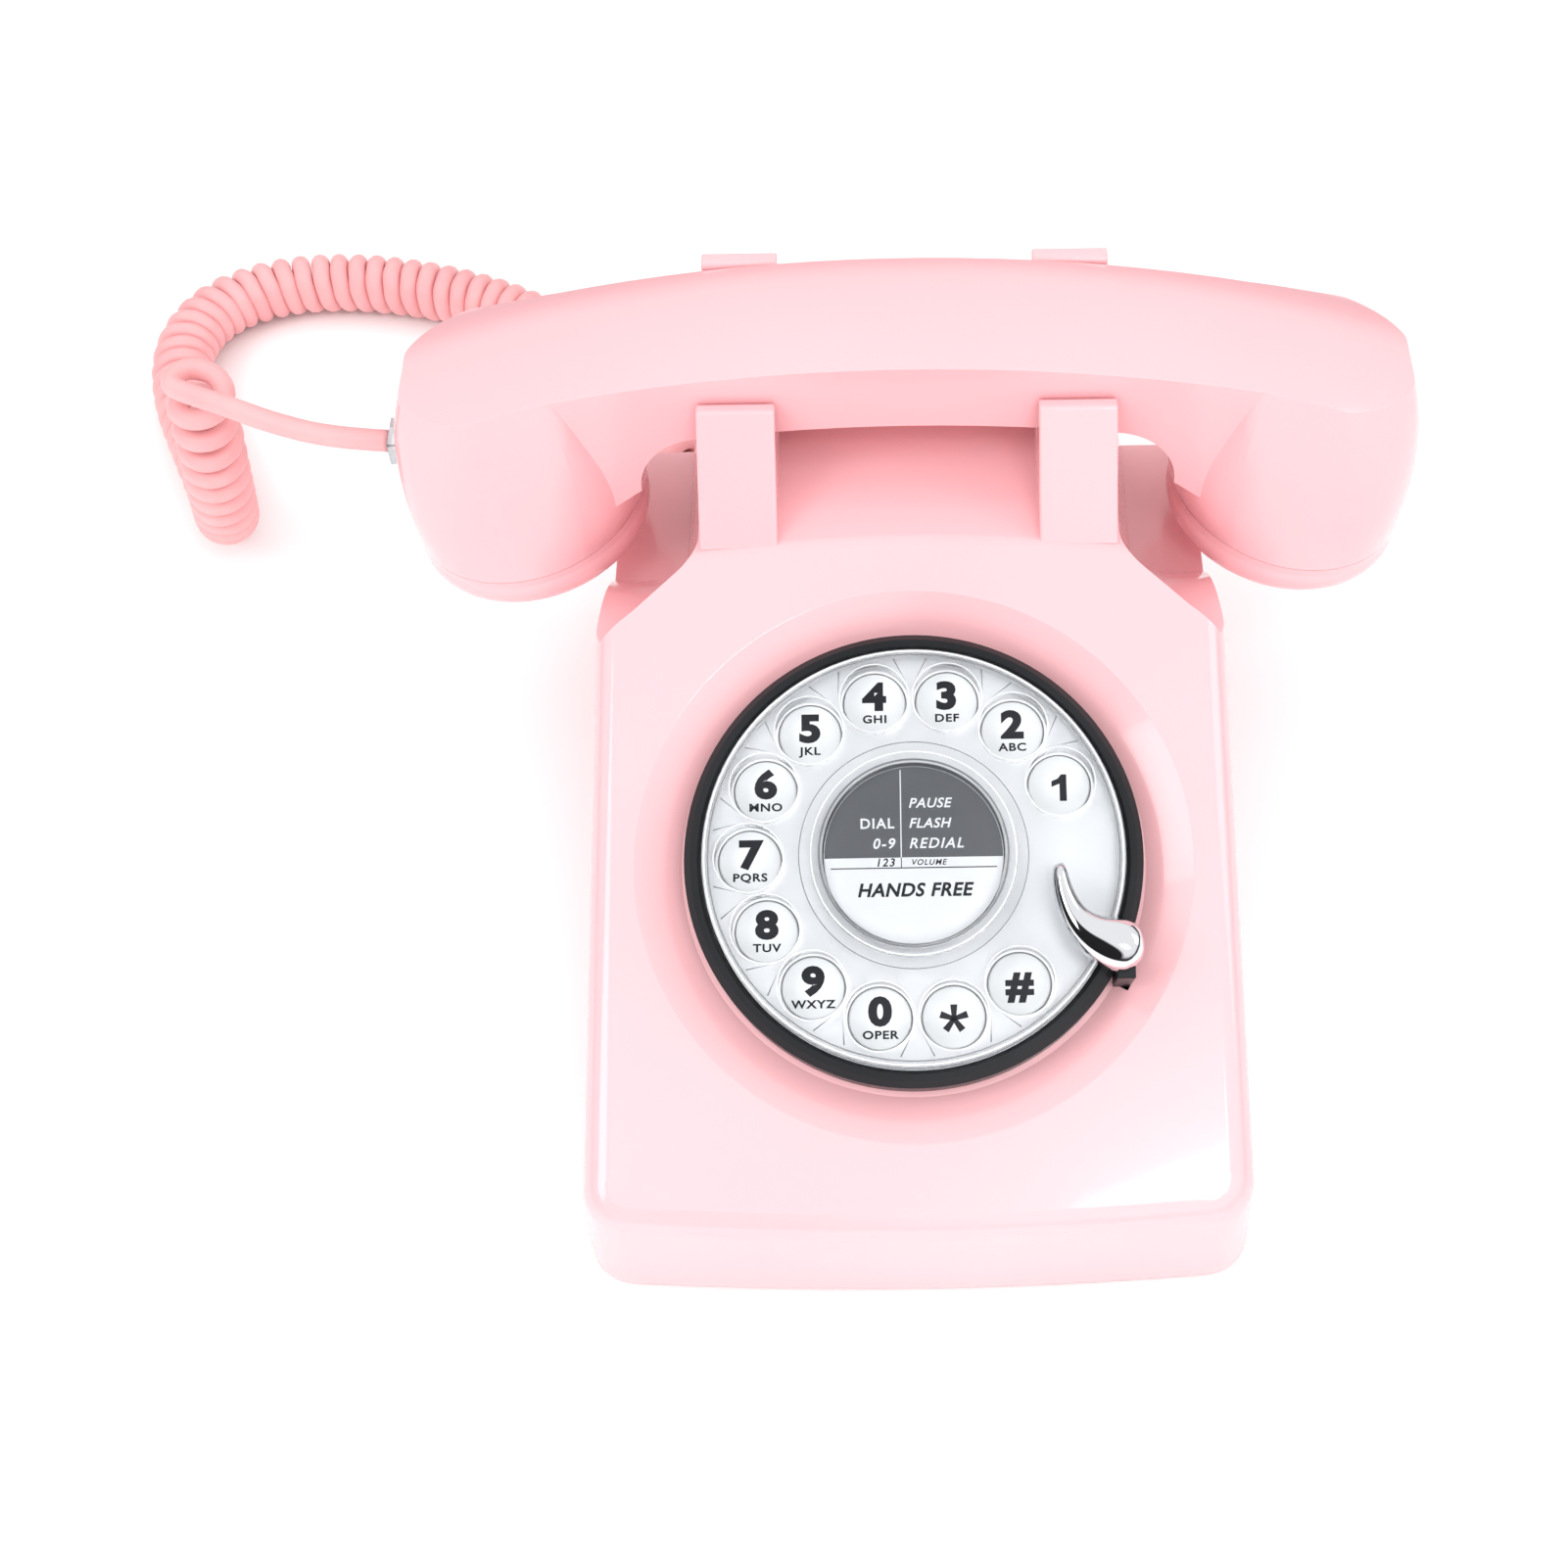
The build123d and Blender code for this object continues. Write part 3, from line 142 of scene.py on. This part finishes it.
# ---------------------------------------------------------------- finishes
look = {
    "pink_plastic": surface("pink_plastic", (0.90, 0.48, 0.508), (0.93, 0.51, 0.538), (0.13, 0.18),
                            relief=0.012, mottle=9, coat=0.5, glow=0.12),
    "pink_cord": surface("pink_cord", (0.84, 0.40, 0.41), (0.90, 0.46, 0.465), (0.33, 0.46),
                         grain=2600, relief=0.06, mottle=60, glow=0.1),
    "black_plastic": surface("black_plastic", (0.012, 0.013, 0.015), (0.022, 0.023, 0.026), (0.30, 0.38),
                             grain=1500, relief=0.04, shine=0.16),
    "clear_plastic": surface("clear_plastic", (0.96, 0.97, 0.98), (0.985, 0.99, 1.0), (0.02, 0.05),
                             relief=0.004, through=1.0, ior=1.15),
    "silver_plastic": surface("silver_plastic", (0.87, 0.885, 0.905), (0.92, 0.93, 0.945), (0.30, 0.42),
                              grain=3000, relief=0.03, mottle=70, metal=0.15),
    # painted shade: the key caps are the plate's silver plastic, given a darker copy because they stand open
    # in the holes and catch more light than the plate under the clear cover
    "shaded_key_silver": surface("shaded_key_silver", (0.70, 0.725, 0.745), (0.76, 0.78, 0.80), (0.30, 0.42),
                           grain=3000, relief=0.03, mottle=70),
    "printed_label": surface("printed_label", (0.84, 0.85, 0.87), (0.90, 0.91, 0.92), (0.4, 0.5),
                             relief=0.02),
    "grey_plastic": surface("grey_plastic", (0.10, 0.105, 0.115), (0.15, 0.155, 0.165), (0.35, 0.5)),
    "chrome": surface("chrome", (0.66, 0.67, 0.69), (0.72, 0.73, 0.75), (0.02, 0.06),
                      grain=500, relief=0.004, metal=1.0),
    "steel": surface("steel", (0.42, 0.43, 0.44), (0.55, 0.56, 0.57), (0.25, 0.4), grain=1400, relief=0.1,
                     mottle=150, metal=1.0, stretch=(1, 9, 1)),
    "rubber": surface("rubber", (0.018, 0.018, 0.02), (0.04, 0.04, 0.042), (0.6, 0.8),
                      grain=1800, relief=0.2),
    "key_rubber": surface("key_rubber", (0.5, 0.5, 0.48), (0.6, 0.6, 0.58), (0.5, 0.65), relief=0.1),
    "circuit_board": surface("circuit_board", (0.01, 0.12, 0.05), (0.03, 0.20, 0.09), (0.3, 0.45),
                             grain=700, relief=0.15, mottle=420),
    "components": surface("components", (0.015, 0.015, 0.017), (0.04, 0.04, 0.045), (0.35, 0.55)),
    "speaker_cone": surface("speaker_cone", (0.02, 0.02, 0.022), (0.06, 0.06, 0.062), (0.6, 0.8),
                            grain=1200, relief=0.25),
    "socket_plastic": surface("socket_plastic", (0.02, 0.02, 0.023), (0.035, 0.035, 0.04), (0.3, 0.45)),
    "plug_plastic": surface("plug_plastic", (0.80, 0.84, 0.87), (0.88, 0.90, 0.92), (0.05, 0.12),
                            through=0.85, ior=1.5),
}
for row in frame["record"]["subparts"]:
    for place in frame["nodes"][row["node"]].material_slots:
        # key caps take the darker, painted-shade copy of the silver plastic
        key_cap = row["node"].startswith("key_") and row["material_slot"] == "silver_plastic"
        place.material = look["shaded_key_silver" if key_cap else row["material_slot"]]


# ---------------------------------------------------------------- curly cord
def nurbs(name, route, resolution=12):
    """A smooth curve with the route's points, given in metres, as its control points."""
    data = bpy.data.curves.new(name, "CURVE")
    data.dimensions = "3D"
    data.resolution_u = resolution
    spline = data.splines.new("NURBS")
    spline.points.add(len(route) - 1)
    for point, position in zip(spline.points, route):
        point.co = (*position, 1)
    spline.order_u = 3
    spline.use_endpoint_u = True
    curve = bpy.data.objects.new(name, data)
    bpy.context.collection.objects.link(curve)
    return curve


def line_of(curve):
    """The points of the curve's own smooth line; the curve itself is then removed."""
    bpy.context.view_layer.update()
    mesh = bpy.data.meshes.new_from_object(curve)
    points = [v.co.copy() for v in mesh.vertices]
    bpy.data.meshes.remove(mesh)
    bpy.data.objects.remove(curve)
    return points


def lengths_along(points):
    total = [0.0]
    for a, b in zip(points, points[1:]):
        total.append(total[-1] + (b - a).length)
    return total


def even(points, step):
    """Points at even steps along a line."""
    total = lengths_along(points)
    count = max(2, round(total[-1] / step))
    result, i = [], 0
    for k in range(count + 1):
        s = total[-1] * k / count
        while i < len(points) - 2 and total[i + 1] < s:
            i += 1
        t = (s - total[i]) / max(total[i + 1] - total[i], 1e-9)
        result.append(points[i].lerp(points[i + 1], min(max(t, 0), 1)))
    return result


def carried_frames(points, side):
    """Along a line, its direction and a sideways vector that never twists about it."""
    found = []
    for i, point in enumerate(points):
        ahead = (points[min(i + 1, len(points) - 1)] - points[max(i - 1, 0)]).normalized()
        side = (side - ahead * side.dot(ahead)).normalized()
        found.append((point, ahead, side.copy()))
    return found


def tube_piece(name, points, radius, sides=12):
    """A round tube along a line, closed at both ends."""
    rings = carried_frames(points, Vector((0.3, 0.2, 1)))
    corners = [point + (side * math.cos(a) + ahead.cross(side) * math.sin(a)) * radius
               for point, ahead, side in rings
               for a in (2 * math.pi * k / sides for k in range(sides))]
    faces = [(i * sides + k, i * sides + (k + 1) % sides,
              (i + 1) * sides + (k + 1) % sides, (i + 1) * sides + k)
             for i in range(len(rings) - 1) for k in range(sides)]
    faces.append(tuple(reversed(range(sides))))
    faces.append(tuple(range((len(rings) - 1) * sides, len(rings) * sides)))
    mesh = bpy.data.meshes.new(name)
    mesh.from_pydata(corners, [], faces)
    mesh.shade_smooth()
    tube = bpy.data.objects.new(name, mesh)
    bpy.context.collection.objects.link(tube)
    return tube


CORD_RADIUS = 2.6 * MM
TURN_RADIUS = 5.9 * MM
POINTS_PER_TURN = 16
COIL_STEP, CORD_STEP, COIL_END_GAP = 0.5 * MM, 1.4 * MM, 2 * MM
CLOSED_PITCH, OPEN_PITCH, OPEN_REACH = 5.35, 4.6, 32 * MM
lead_route = [
    (-0.1201, 0.0740, 0.0846), (-0.1330, 0.0748, 0.0850), (-0.1470, 0.0789, 0.0858),
    (-0.1610, 0.0852, 0.0866), (-0.1765, 0.0908, 0.0869)]
coil_route = [
    (-0.1685, 0.0952, 0.0849), (-0.1708, 0.0974, 0.0650), (-0.1736, 0.1016, 0.0460),
    (-0.1768, 0.1078, 0.0290), (-0.1808, 0.1172, 0.0155), (-0.1865, 0.1318, 0.0092),
    (-0.1950, 0.1505, 0.0088), (-0.2035, 0.1700, 0.0088), (-0.2070, 0.1905, 0.0088),
    (-0.2000, 0.2075, 0.0088), (-0.1840, 0.2165, 0.0088), (-0.1650, 0.2184, 0.0088),
    (-0.1455, 0.2158, 0.0088), (-0.1270, 0.2102, 0.0088), (-0.1095, 0.2016, 0.0088),
    (-0.0940, 0.1895, 0.0088), (-0.0805, 0.1745, 0.0088), (-0.0688, 0.1569, 0.0088),
    (-0.0588, 0.1388, 0.0088)]
tail_route = [
    (-0.0588, 0.1388, 0.0088), (-0.0514, 0.1256, 0.0096), (-0.0450, 0.1123, 0.0120),
    (-0.0450, 0.1027, 0.0120)]


def pitch_at(s):
    """Distance from turn to turn: wide where the coil hangs by its top turns, closed on the floor."""
    return (CLOSED_PITCH + OPEN_PITCH * math.exp(-s / OPEN_REACH)) * MM


middle = carried_frames(even(line_of(nurbs("coil_line", coil_route)), COIL_STEP), Vector((-1, -0.6, 0)))
total = lengths_along([m[0] for m in middle])
helix, turned, s, i = [], 0.0, 0.0, 0
while s < total[-1] - COIL_END_GAP:
    while i < len(middle) - 2 and total[i + 1] < s:
        i += 1
    point, ahead, side = middle[i]
    angle = turned * 2 * math.pi
    helix.append(point + (side * math.cos(angle) + ahead.cross(side) * math.sin(angle)) * TURN_RADIUS)
    turned += 1 / POINTS_PER_TURN
    s += pitch_at(s) / POINTS_PER_TURN
route = [Vector(p) for p in lead_route[:-1]] + helix + [Vector(p) for p in tail_route[1:]]
cord_line = even(line_of(nurbs("cord_line", route, 6)), CORD_STEP)
cord = tube_piece("handset_cord", cord_line, CORD_RADIUS)
cord.data.materials.append(look["pink_cord"])
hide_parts("cord_lead", "cord_coil", "cord_tail")
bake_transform(cord)

# ---------------------------------------------------------------- numbers, letters and the button's label
SLOPE = math.radians(26)
FRONT_WALL_HEIGHT, FRONT_REACH, CREASE_SETBACK = 0.0265, 0.1018, 0.0013
dial_centre = Vector((0, -0.0310, 0))
dial_centre.z = FRONT_WALL_HEIGHT + math.tan(SLOPE) * (dial_centre.y + FRONT_REACH - CREASE_SETBACK)
dial_turn = Matrix.Translation(dial_centre) @ Matrix.Rotation(SLOPE, 4, "X")
CAPITAL_HEIGHT = 0.69  # of the typeface's size


def flat_text(words, u, v, height, bold=0.0, slant=0.0, align="CENTER", spacing=1.0, stretch=1.0):
    """Words as a flat mesh in the dial's plane, u across and v up, in millimetres."""
    data = bpy.data.curves.new("words", "FONT")
    data.body = words
    data.size = height * MM / CAPITAL_HEIGHT
    data.align_x, data.align_y = align, "CENTER"
    data.offset = bold * MM
    data.shear = slant
    data.space_character = spacing
    data.resolution_u = 4
    data.fill_mode = "FRONT"
    words_object = bpy.data.objects.new("words", data)
    bpy.context.collection.objects.link(words_object)
    bpy.context.view_layer.update()
    mesh = bpy.data.meshes.new_from_object(words_object)
    bpy.data.objects.remove(words_object)
    mesh.transform(Matrix.Translation((u * MM, v * MM, 0)) @ Matrix.Diagonal((stretch, 1, 1, 1)))
    return mesh


def flat_shape(outline):
    """One flat face in the dial's plane, from its outline in millimetres."""
    mesh = bpy.data.meshes.new("shape")
    mesh.from_pydata([(u * MM, v * MM, 0) for u, v in outline], [], [tuple(range(len(outline)))])
    return mesh


def printed(name, meshes, height, material, body):
    """Flat meshes joined into one print, height millimetres above the dial's plane."""
    corners, faces = [], []
    for mesh in meshes:
        start = len(corners)
        corners += [v.co.copy() for v in mesh.vertices]
        faces += [tuple(start + i for i in p.vertices) for p in mesh.polygons]
        bpy.data.meshes.remove(mesh)
    mesh = bpy.data.meshes.new(name)
    mesh.from_pydata(corners, [], faces)
    mesh.transform(dial_turn @ Matrix.Translation((0, 0, height * MM)))
    mesh.materials.append(material)
    piece = bpy.data.objects.new(name, mesh)
    bpy.context.collection.objects.link(piece)
    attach(piece, body)
    return piece


ink = surface("dark_ink", (0.018, 0.019, 0.023), (0.035, 0.036, 0.042), (0.35, 0.5), grain=4000, relief=0.02,
              shine=0.1)
white_ink = surface("white_ink", (0.86, 0.87, 0.88), (0.92, 0.92, 0.93), (0.4, 0.5), grain=4000, relief=0.02)
HOLE_CIRCLE, KEY_TOP, LABEL_TOP, LABEL_RADIUS = 34.8, 3.2, 9.4, 18.45
FIRST_KEY_ANGLE, KEY_PLACES, PRINT_LIFT = 26, 14, 0.012


def key_angle(number):
    """Where a key stands round the dial; a whole number for a key, a half for the gap after it."""
    return math.radians(FIRST_KEY_ANGLE + number * 360 / KEY_PLACES)


keys = [("1", "1", ""), ("2", "2", "ABC"), ("3", "3", "DEF"), ("4", "4", "GHI"), ("5", "5", "JKL"),
        ("6", "6", "MNO"), ("7", "7", "PQRS"), ("8", "8", "TUV"), ("9", "9", "WXYZ"), ("0", "0", "OPER"),
        ("star", "*", ""), ("hash", "#", "")]
for number, (key, sign, letters) in enumerate(keys):
    angle = key_angle(number)
    u, v = HOLE_CIRCLE * math.cos(angle), HOLE_CIRCLE * math.sin(angle)
    if sign == "*":
        words = [flat_shape([(u + r * math.cos(a) + w * math.sin(a),
                              v - 0.3 + r * math.sin(a) - w * math.cos(a))
                             for r, w in ((0, -0.45), (3.0, -0.75), (3.0, 0.75), (0, 0.45))])
                 for a in (math.radians(90 + 72 * k) for k in range(5))]
    elif sign == "1":
        words = [flat_shape([(u + a, v - 0.4 + b) for a, b in
                             ((0.1, -2.9), (1.6, -2.9), (1.6, 2.9), (0.45, 2.9), (-0.25, 2.0), (-1.6, 1.45),
                              (-1.6, 0.2), (0.1, 0.85))])]
    elif letters:
        words = [flat_text(sign, u, v + 1.2, 5.5, 0.42, stretch=1.16),
                 flat_text(letters, u, v - 3.5, 1.65, 0.07, spacing=1.12, stretch=1.2)]
    else:
        words = [flat_text(sign, u, v - 0.5, 5.6, 0.38, stretch=1.1)]
    printed(f"key_{key}_print", words, KEY_TOP + 0.02, ink, f"key_{key}")

# the label has two level dividing lines and an upright one
SPLIT, STRIP, EDGE_X = -0.9, -3.1, -2.6


def above(level, radius, steps=40):
    """Outline of the part of a circle that lies above a level."""
    start = math.asin(level / radius)
    return [(radius * math.cos(a), radius * math.sin(a))
            for a in (start + (math.pi - 2 * start) * k / steps for k in range(steps + 1))]


def bar(low_u, high_u, low_v, high_v):
    """A flat upright rectangle."""
    return flat_shape([(low_u, low_v), (high_u, low_v), (high_u, high_v), (low_u, high_v)])


chord = math.sqrt(LABEL_RADIUS ** 2 - SPLIT ** 2) - 0.4
printed("label_dark_field", [flat_shape(above(SPLIT, LABEL_RADIUS))], LABEL_TOP + PRINT_LIFT,
        look["grey_plastic"], "centre_button")
printed("label_white_print", [
    bar(EDGE_X - 0.12, EDGE_X + 0.12, SPLIT, LABEL_RADIUS - 0.6),
    flat_text("DIAL", EDGE_X - 1.4, 6.3, 2.1, 0.07, align="RIGHT", spacing=1.15),
    flat_text("0-9", EDGE_X - 1.4, 2.0, 2.1, 0.07, 0.2, align="RIGHT", spacing=1.2),
    flat_text("PAUSE", EDGE_X + 1.6, 10.6, 2.0, 0.06, 0.25, align="LEFT", spacing=1.1),
    flat_text("FLASH", EDGE_X + 1.6, 6.3, 2.0, 0.06, 0.25, align="LEFT", spacing=1.1),
    flat_text("REDIAL", EDGE_X + 1.6, 2.0, 2.1, 0.06, 0.25, align="LEFT", spacing=1.2),
], LABEL_TOP + 2 * PRINT_LIFT, white_ink, "centre_button")
printed("label_dark_print", [
    bar(EDGE_X - 0.1, EDGE_X + 0.1, STRIP, SPLIT), bar(-chord + 0.6, chord - 0.6, STRIP - 0.12, STRIP + 0.12),
    flat_text("123", EDGE_X - 1.4, -2.0, 1.65, 0.05, 0.2, align="RIGHT", spacing=1.2),
    flat_text("VOLUME", EDGE_X + 2.0, -2.0, 1.15, 0.03, 0.25, align="LEFT", spacing=1.2),
    flat_text("HANDS FREE", 0, -7.9, 2.7, 0.12, 0.22, spacing=1.08),
], LABEL_TOP + PRINT_LIFT, ink, "centre_button")

# ---------------------------------------------------------------- fine rings and webs of the clear cover: painted highlight and painted shade lines along its edges
def dial_piece(name, mesh, material, body):
    """A piece from a mesh in the dial's plane."""
    mesh.transform(dial_turn)
    mesh.materials.append(material)
    mesh.shade_smooth()
    piece = bpy.data.objects.new(name, mesh)
    bpy.context.collection.objects.link(piece)
    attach(piece, body)
    return piece


def ring_mesh(name, rings, steps=144, sides=8):
    """Thin round beads about the dial's axis or a key's: (u, v, radius, height, bead), in millimetres."""
    corners, faces = [], []
    for u, v, radius, height, bead in rings:
        start = len(corners)
        for i in range(steps):
            a = 2 * math.pi * i / steps
            for k in range(sides):
                b = 2 * math.pi * k / sides
                r = radius + bead * math.cos(b)
                corners.append(((u + r * math.cos(a)) * MM, (v + r * math.sin(a)) * MM,
                                (height + bead * math.sin(b)) * MM))
        faces += [(start + i * sides + k, start + (i + 1) % steps * sides + k,
                   start + (i + 1) % steps * sides + (k + 1) % sides, start + i * sides + (k + 1) % sides)
                  for i in range(steps) for k in range(sides)]
    mesh = bpy.data.meshes.new(name)
    mesh.from_pydata(corners, [], faces)
    return mesh


def stroke_mesh(name, strokes, height, relief=0.12):
    """Small tapering ridges, each from (u, v) to (u, v) with a width at its first end."""
    corners, faces = [], []
    for (u0, v0), (u1, v1), width in strokes:
        length = math.hypot(u1 - u0, v1 - v0)
        across = (-(v1 - v0) / length * width / 2, (u1 - u0) / length * width / 2)
        start = len(corners)
        corners += [((u0 + across[0]) * MM, (v0 + across[1]) * MM, height * MM),
                    ((u0 - across[0]) * MM, (v0 - across[1]) * MM, height * MM),
                    (u1 * MM, v1 * MM, height * MM), (u0 * MM, v0 * MM, (height + relief) * MM)]
        faces += [(start, start + 3, start + 2), (start + 3, start + 1, start + 2),
                  (start, start + 1, start + 3)]
    mesh = bpy.data.meshes.new(name)
    mesh.from_pydata(corners, [], faces)
    return mesh


# painted highlight: light beads round the cover's rim, the centre collar and each key hole stand in for light
# caught on the clear plastic's edges
painted_highlight = surface("painted_highlight_edge", (0.84, 0.85, 0.87), (0.90, 0.905, 0.92), (0.08, 0.14), relief=0.004, coat=0.6)
# painted shade: dark beads beside the cover's rim and about the collar, and the dark colour of the webs,
# stand in for the shade seen along the clear plastic's edges
painted_shade = surface("painted_shade_edge", (0.16, 0.165, 0.18), (0.25, 0.26, 0.28), (0.12, 0.2), relief=0.004, coat=0.4)
COVER_TOP, COVER_RADIUS, COLLAR_TOP = 8.5, 44.75, 11.0
angles = [key_angle(number) for number in range(len(keys))]
holes = [(HOLE_CIRCLE * math.cos(a), HOLE_CIRCLE * math.sin(a)) for a in angles]
# painted highlight beads along the cover's rim, the collar and the key holes
dial_piece("cover_painted_highlight_beads", ring_mesh("cover_painted_highlight_beads",
           [(0, 0, COVER_RADIUS - 0.55, COVER_TOP - 0.35, 0.24), (0, 0, 21.6, COLLAR_TOP - 0.05, 0.16)]
           + [(u, v, 7.42, COVER_TOP - 0.02, 0.1) for u, v in holes]),
           painted_highlight, "base")
# painted shade beads beside the cover's rim and about the centre collar
dial_piece("cover_shade_beads", ring_mesh("cover_shade_beads",
           [(0, 0, COVER_RADIUS - 1.35, COVER_TOP - 0.05, 0.13), (0, 0, 19.9, COLLAR_TOP - 0.03, 0.2),
            (0, 0, 24.2, COVER_TOP - 0.02, 0.1)]),
           painted_shade, "base")
# the webs are real ridges of the cover; their dark colour is painted shade
webs = []
for a in [key_angle(number + 0.5) for number in range(len(keys) - 1)]:
    for turn in (-1, 1):
        outer, inner = a + turn * 0.083, a + turn * 0.026
        webs.append(((42.6 * math.cos(outer), 42.6 * math.sin(outer)),
                     (37.6 * math.cos(inner), 37.6 * math.sin(inner)), 0.34))
dial_piece("cover_webs", stroke_mesh("cover_webs", webs, COVER_TOP + 0.01), painted_shade, "base")


# ---------------------------------------------------------------- finger stop
def smooth_side(points, count):
    """Points evenly along the smooth curve that a side's corners control, in millimetres."""
    curve = nurbs("side", [(u * MM, v * MM, 0) for u, v in points])
    line = line_of(curve)
    return even(line, lengths_along(line)[-1] / (count - 0.5))[:count]


STATIONS, ACROSS = 40, 14
LEVER_HEIGHT, LEVER_CREST, CREST_BY_WIDTH = 11.2 * MM, 2.4 * MM, 0.16
near_side = smooth_side([(28.8, -3.6), (28.7, -6.6), (29.4, -12.0), (31.4, -17.8), (35.2, -22.6),
                         (40.0, -25.6), (44.8, -26.0), (47.4, -23.6)], STATIONS)
far_side = smooth_side([(31.6, -2.6), (32.2, -4.8), (33.2, -8.4), (35.4, -12.4), (38.8, -14.2), (43.6, -14.4),
                        (47.3, -16.6), (48.0, -20.4)], STATIONS)
corners, faces = [], []
for i, (near, far) in enumerate(zip(near_side, far_side)):
    end = min(1.0, (i + 0.4) / 3, (STATIONS - i - 0.6) / 4)
    crest = LEVER_CREST * math.sqrt(end) + (near - far).length * CREST_BY_WIDTH
    for k in range(ACROSS):
        a = 2 * math.pi * k / ACROSS
        point = near.lerp(far, 0.5 - 0.5 * math.cos(a) * (0.55 + 0.45 * math.sqrt(end)))
        point.z = LEVER_HEIGHT + crest * math.sin(a)
        corners.append(point)
faces = [(i * ACROSS + k, (i + 1) * ACROSS + k,
          (i + 1) * ACROSS + (k + 1) % ACROSS, i * ACROSS + (k + 1) % ACROSS)
         for i in range(STATIONS - 1) for k in range(ACROSS)]
faces += [tuple(range(ACROSS)), tuple(reversed(range((STATIONS - 1) * ACROSS, STATIONS * ACROSS)))]
lever_mesh = bpy.data.meshes.new("finger_stop_lever")
lever_mesh.from_pydata(corners, [], faces)
lever = dial_piece("finger_stop_lever", lever_mesh, look["chrome"], "finger_stop")
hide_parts("finger_stop")
FOOT_RADIUS, FOOT_ANGLE, FOOT_HALF = 50.6, math.radians(-30), 1.9
foot_u, foot_v = FOOT_RADIUS * math.cos(FOOT_ANGLE), FOOT_RADIUS * math.sin(FOOT_ANGLE)
foot_mesh = bpy.data.meshes.new("finger_stop_foot")
foot_mesh.from_pydata([((foot_u + a * FOOT_HALF) * MM, (foot_v + b * FOOT_HALF) * MM, h * MM)
                       for h in (-10, 10.8) for a, b in ((-1, -1), (1, -1), (1, 1), (-1, 1))], [],
                      [(3, 2, 1, 0), (4, 5, 6, 7), (0, 1, 5, 4), (1, 2, 6, 5), (2, 3, 7, 6), (3, 0, 4, 7)])
foot = dial_piece("finger_stop_foot", foot_mesh, look["black_plastic"], "finger_stop")
foot.data.shade_flat()
rounding = foot.modifiers.new("rounding", "BEVEL")
rounding.width, rounding.segments = 0.35 * MM, 3

# ---------------------------------------------------------------- studio
floor_mesh = bpy.data.meshes.new("floor")
FLOOR_REACH = 6
floor_mesh.from_pydata([(a * FLOOR_REACH, b * FLOOR_REACH, 0)
                        for a, b in ((-1, -1), (1, -1), (1, 1), (-1, 1))], [], [(0, 1, 2, 3)])
floor = bpy.data.objects.new("floor", floor_mesh)
floor_mesh.materials.append(surface("pale_floor", (0.93, 0.93, 0.93), (0.95, 0.95, 0.95), (0.6, 0.7),
                                    grain=60, relief=0.0, mottle=2))
bpy.context.collection.objects.link(floor)


def softbox(name, place, target, size, power, glossy=True):
    """A rectangular light aimed at a point; one that isn't glossy is left out of reflections."""
    data = bpy.data.lights.new(name, "AREA")
    data.shape = "RECTANGLE"
    data.size, data.size_y = size
    data.energy = power
    light = bpy.data.objects.new(name, data)
    light.location = place
    light.visible_glossy = glossy
    light.rotation_mode = "QUATERNION"
    light.rotation_quaternion = (Vector(place) - Vector(target)).to_track_quat("Z", "Y")
    bpy.context.collection.objects.link(light)


softbox("key_light", (-0.80, -0.45, 0.95), (0, 0, 0.05), (0.55, 0.55), 3.6)
softbox("front_box", (0.275, -0.63, 1.05), (0.05, -0.08, 0.03), (0.28, 0.24), 1.6)
softbox("side_light", (0.95, 0.10, 0.75), (0, 0, 0.05), (0.6, 0.6), 2.2)
softbox("low_fill", (0, -0.85, 0.36), (0, 0.06, 0.10), (0.9, 0.3), 2.9, glossy=False)

world = bpy.data.worlds.new("studio")
bpy.context.scene.world = world
world.use_nodes = True
sky = world.node_tree
direction = add(sky, "ShaderNodeTexCoord")
parts = add(sky, "ShaderNodeSeparateXYZ")
sky.links.new(direction.outputs["Generated"], parts.inputs["Vector"])
shade = add(sky, "ShaderNodeValToRGB")
stops = shade.color_ramp.elements
stops[0].position, stops[0].color = 0.16, (0.04, 0.04, 0.045, 1)
stops[1].position, stops[1].color = 0.60, (1, 1, 1, 1)
middle_stop = stops.new(0.38)
middle_stop.color = (0.92, 0.92, 0.93, 1)
sky.links.new(parts.outputs["Z"], shade.inputs["Fac"])

# a dark flag low at the front left, seen only in reflections
FLAG_DIRECTION, FLAG_OUTSIDE, FLAG_INSIDE = Vector((-0.62, -0.68, 0.38)), 0.74, 0.80
facing = add(sky, "ShaderNodeVectorMath", operation="DOT_PRODUCT")
facing.inputs[1].default_value = FLAG_DIRECTION.normalized()
sky.links.new(direction.outputs["Generated"], facing.inputs[0])
flag = spread(sky, facing.outputs["Value"], 0, 1, FLAG_OUTSIDE, FLAG_INSIDE)
ray = add(sky, "ShaderNodeLightPath")
seen = add(sky, "ShaderNodeMath", operation="MULTIPLY")
sky.links.new(flag, seen.inputs[0])
sky.links.new(ray.outputs["Is Glossy Ray"], seen.inputs[1])
flagged = add(sky, "ShaderNodeMix", data_type="RGBA")
open_sky, flag_shade = (socket for socket in flagged.inputs if socket.type == "RGBA")
flag_shade.default_value = (0.02, 0.02, 0.022, 1)
sky.links.new(shade.outputs["Color"], open_sky)
sky.links.new(seen.outputs["Value"], flagged.inputs["Factor"])
sky.links.new(next(socket for socket in flagged.outputs if socket.type == "RGBA"),
              sky.nodes["Background"].inputs["Color"])
sky.nodes["Background"].inputs["Strength"].default_value = 1.16
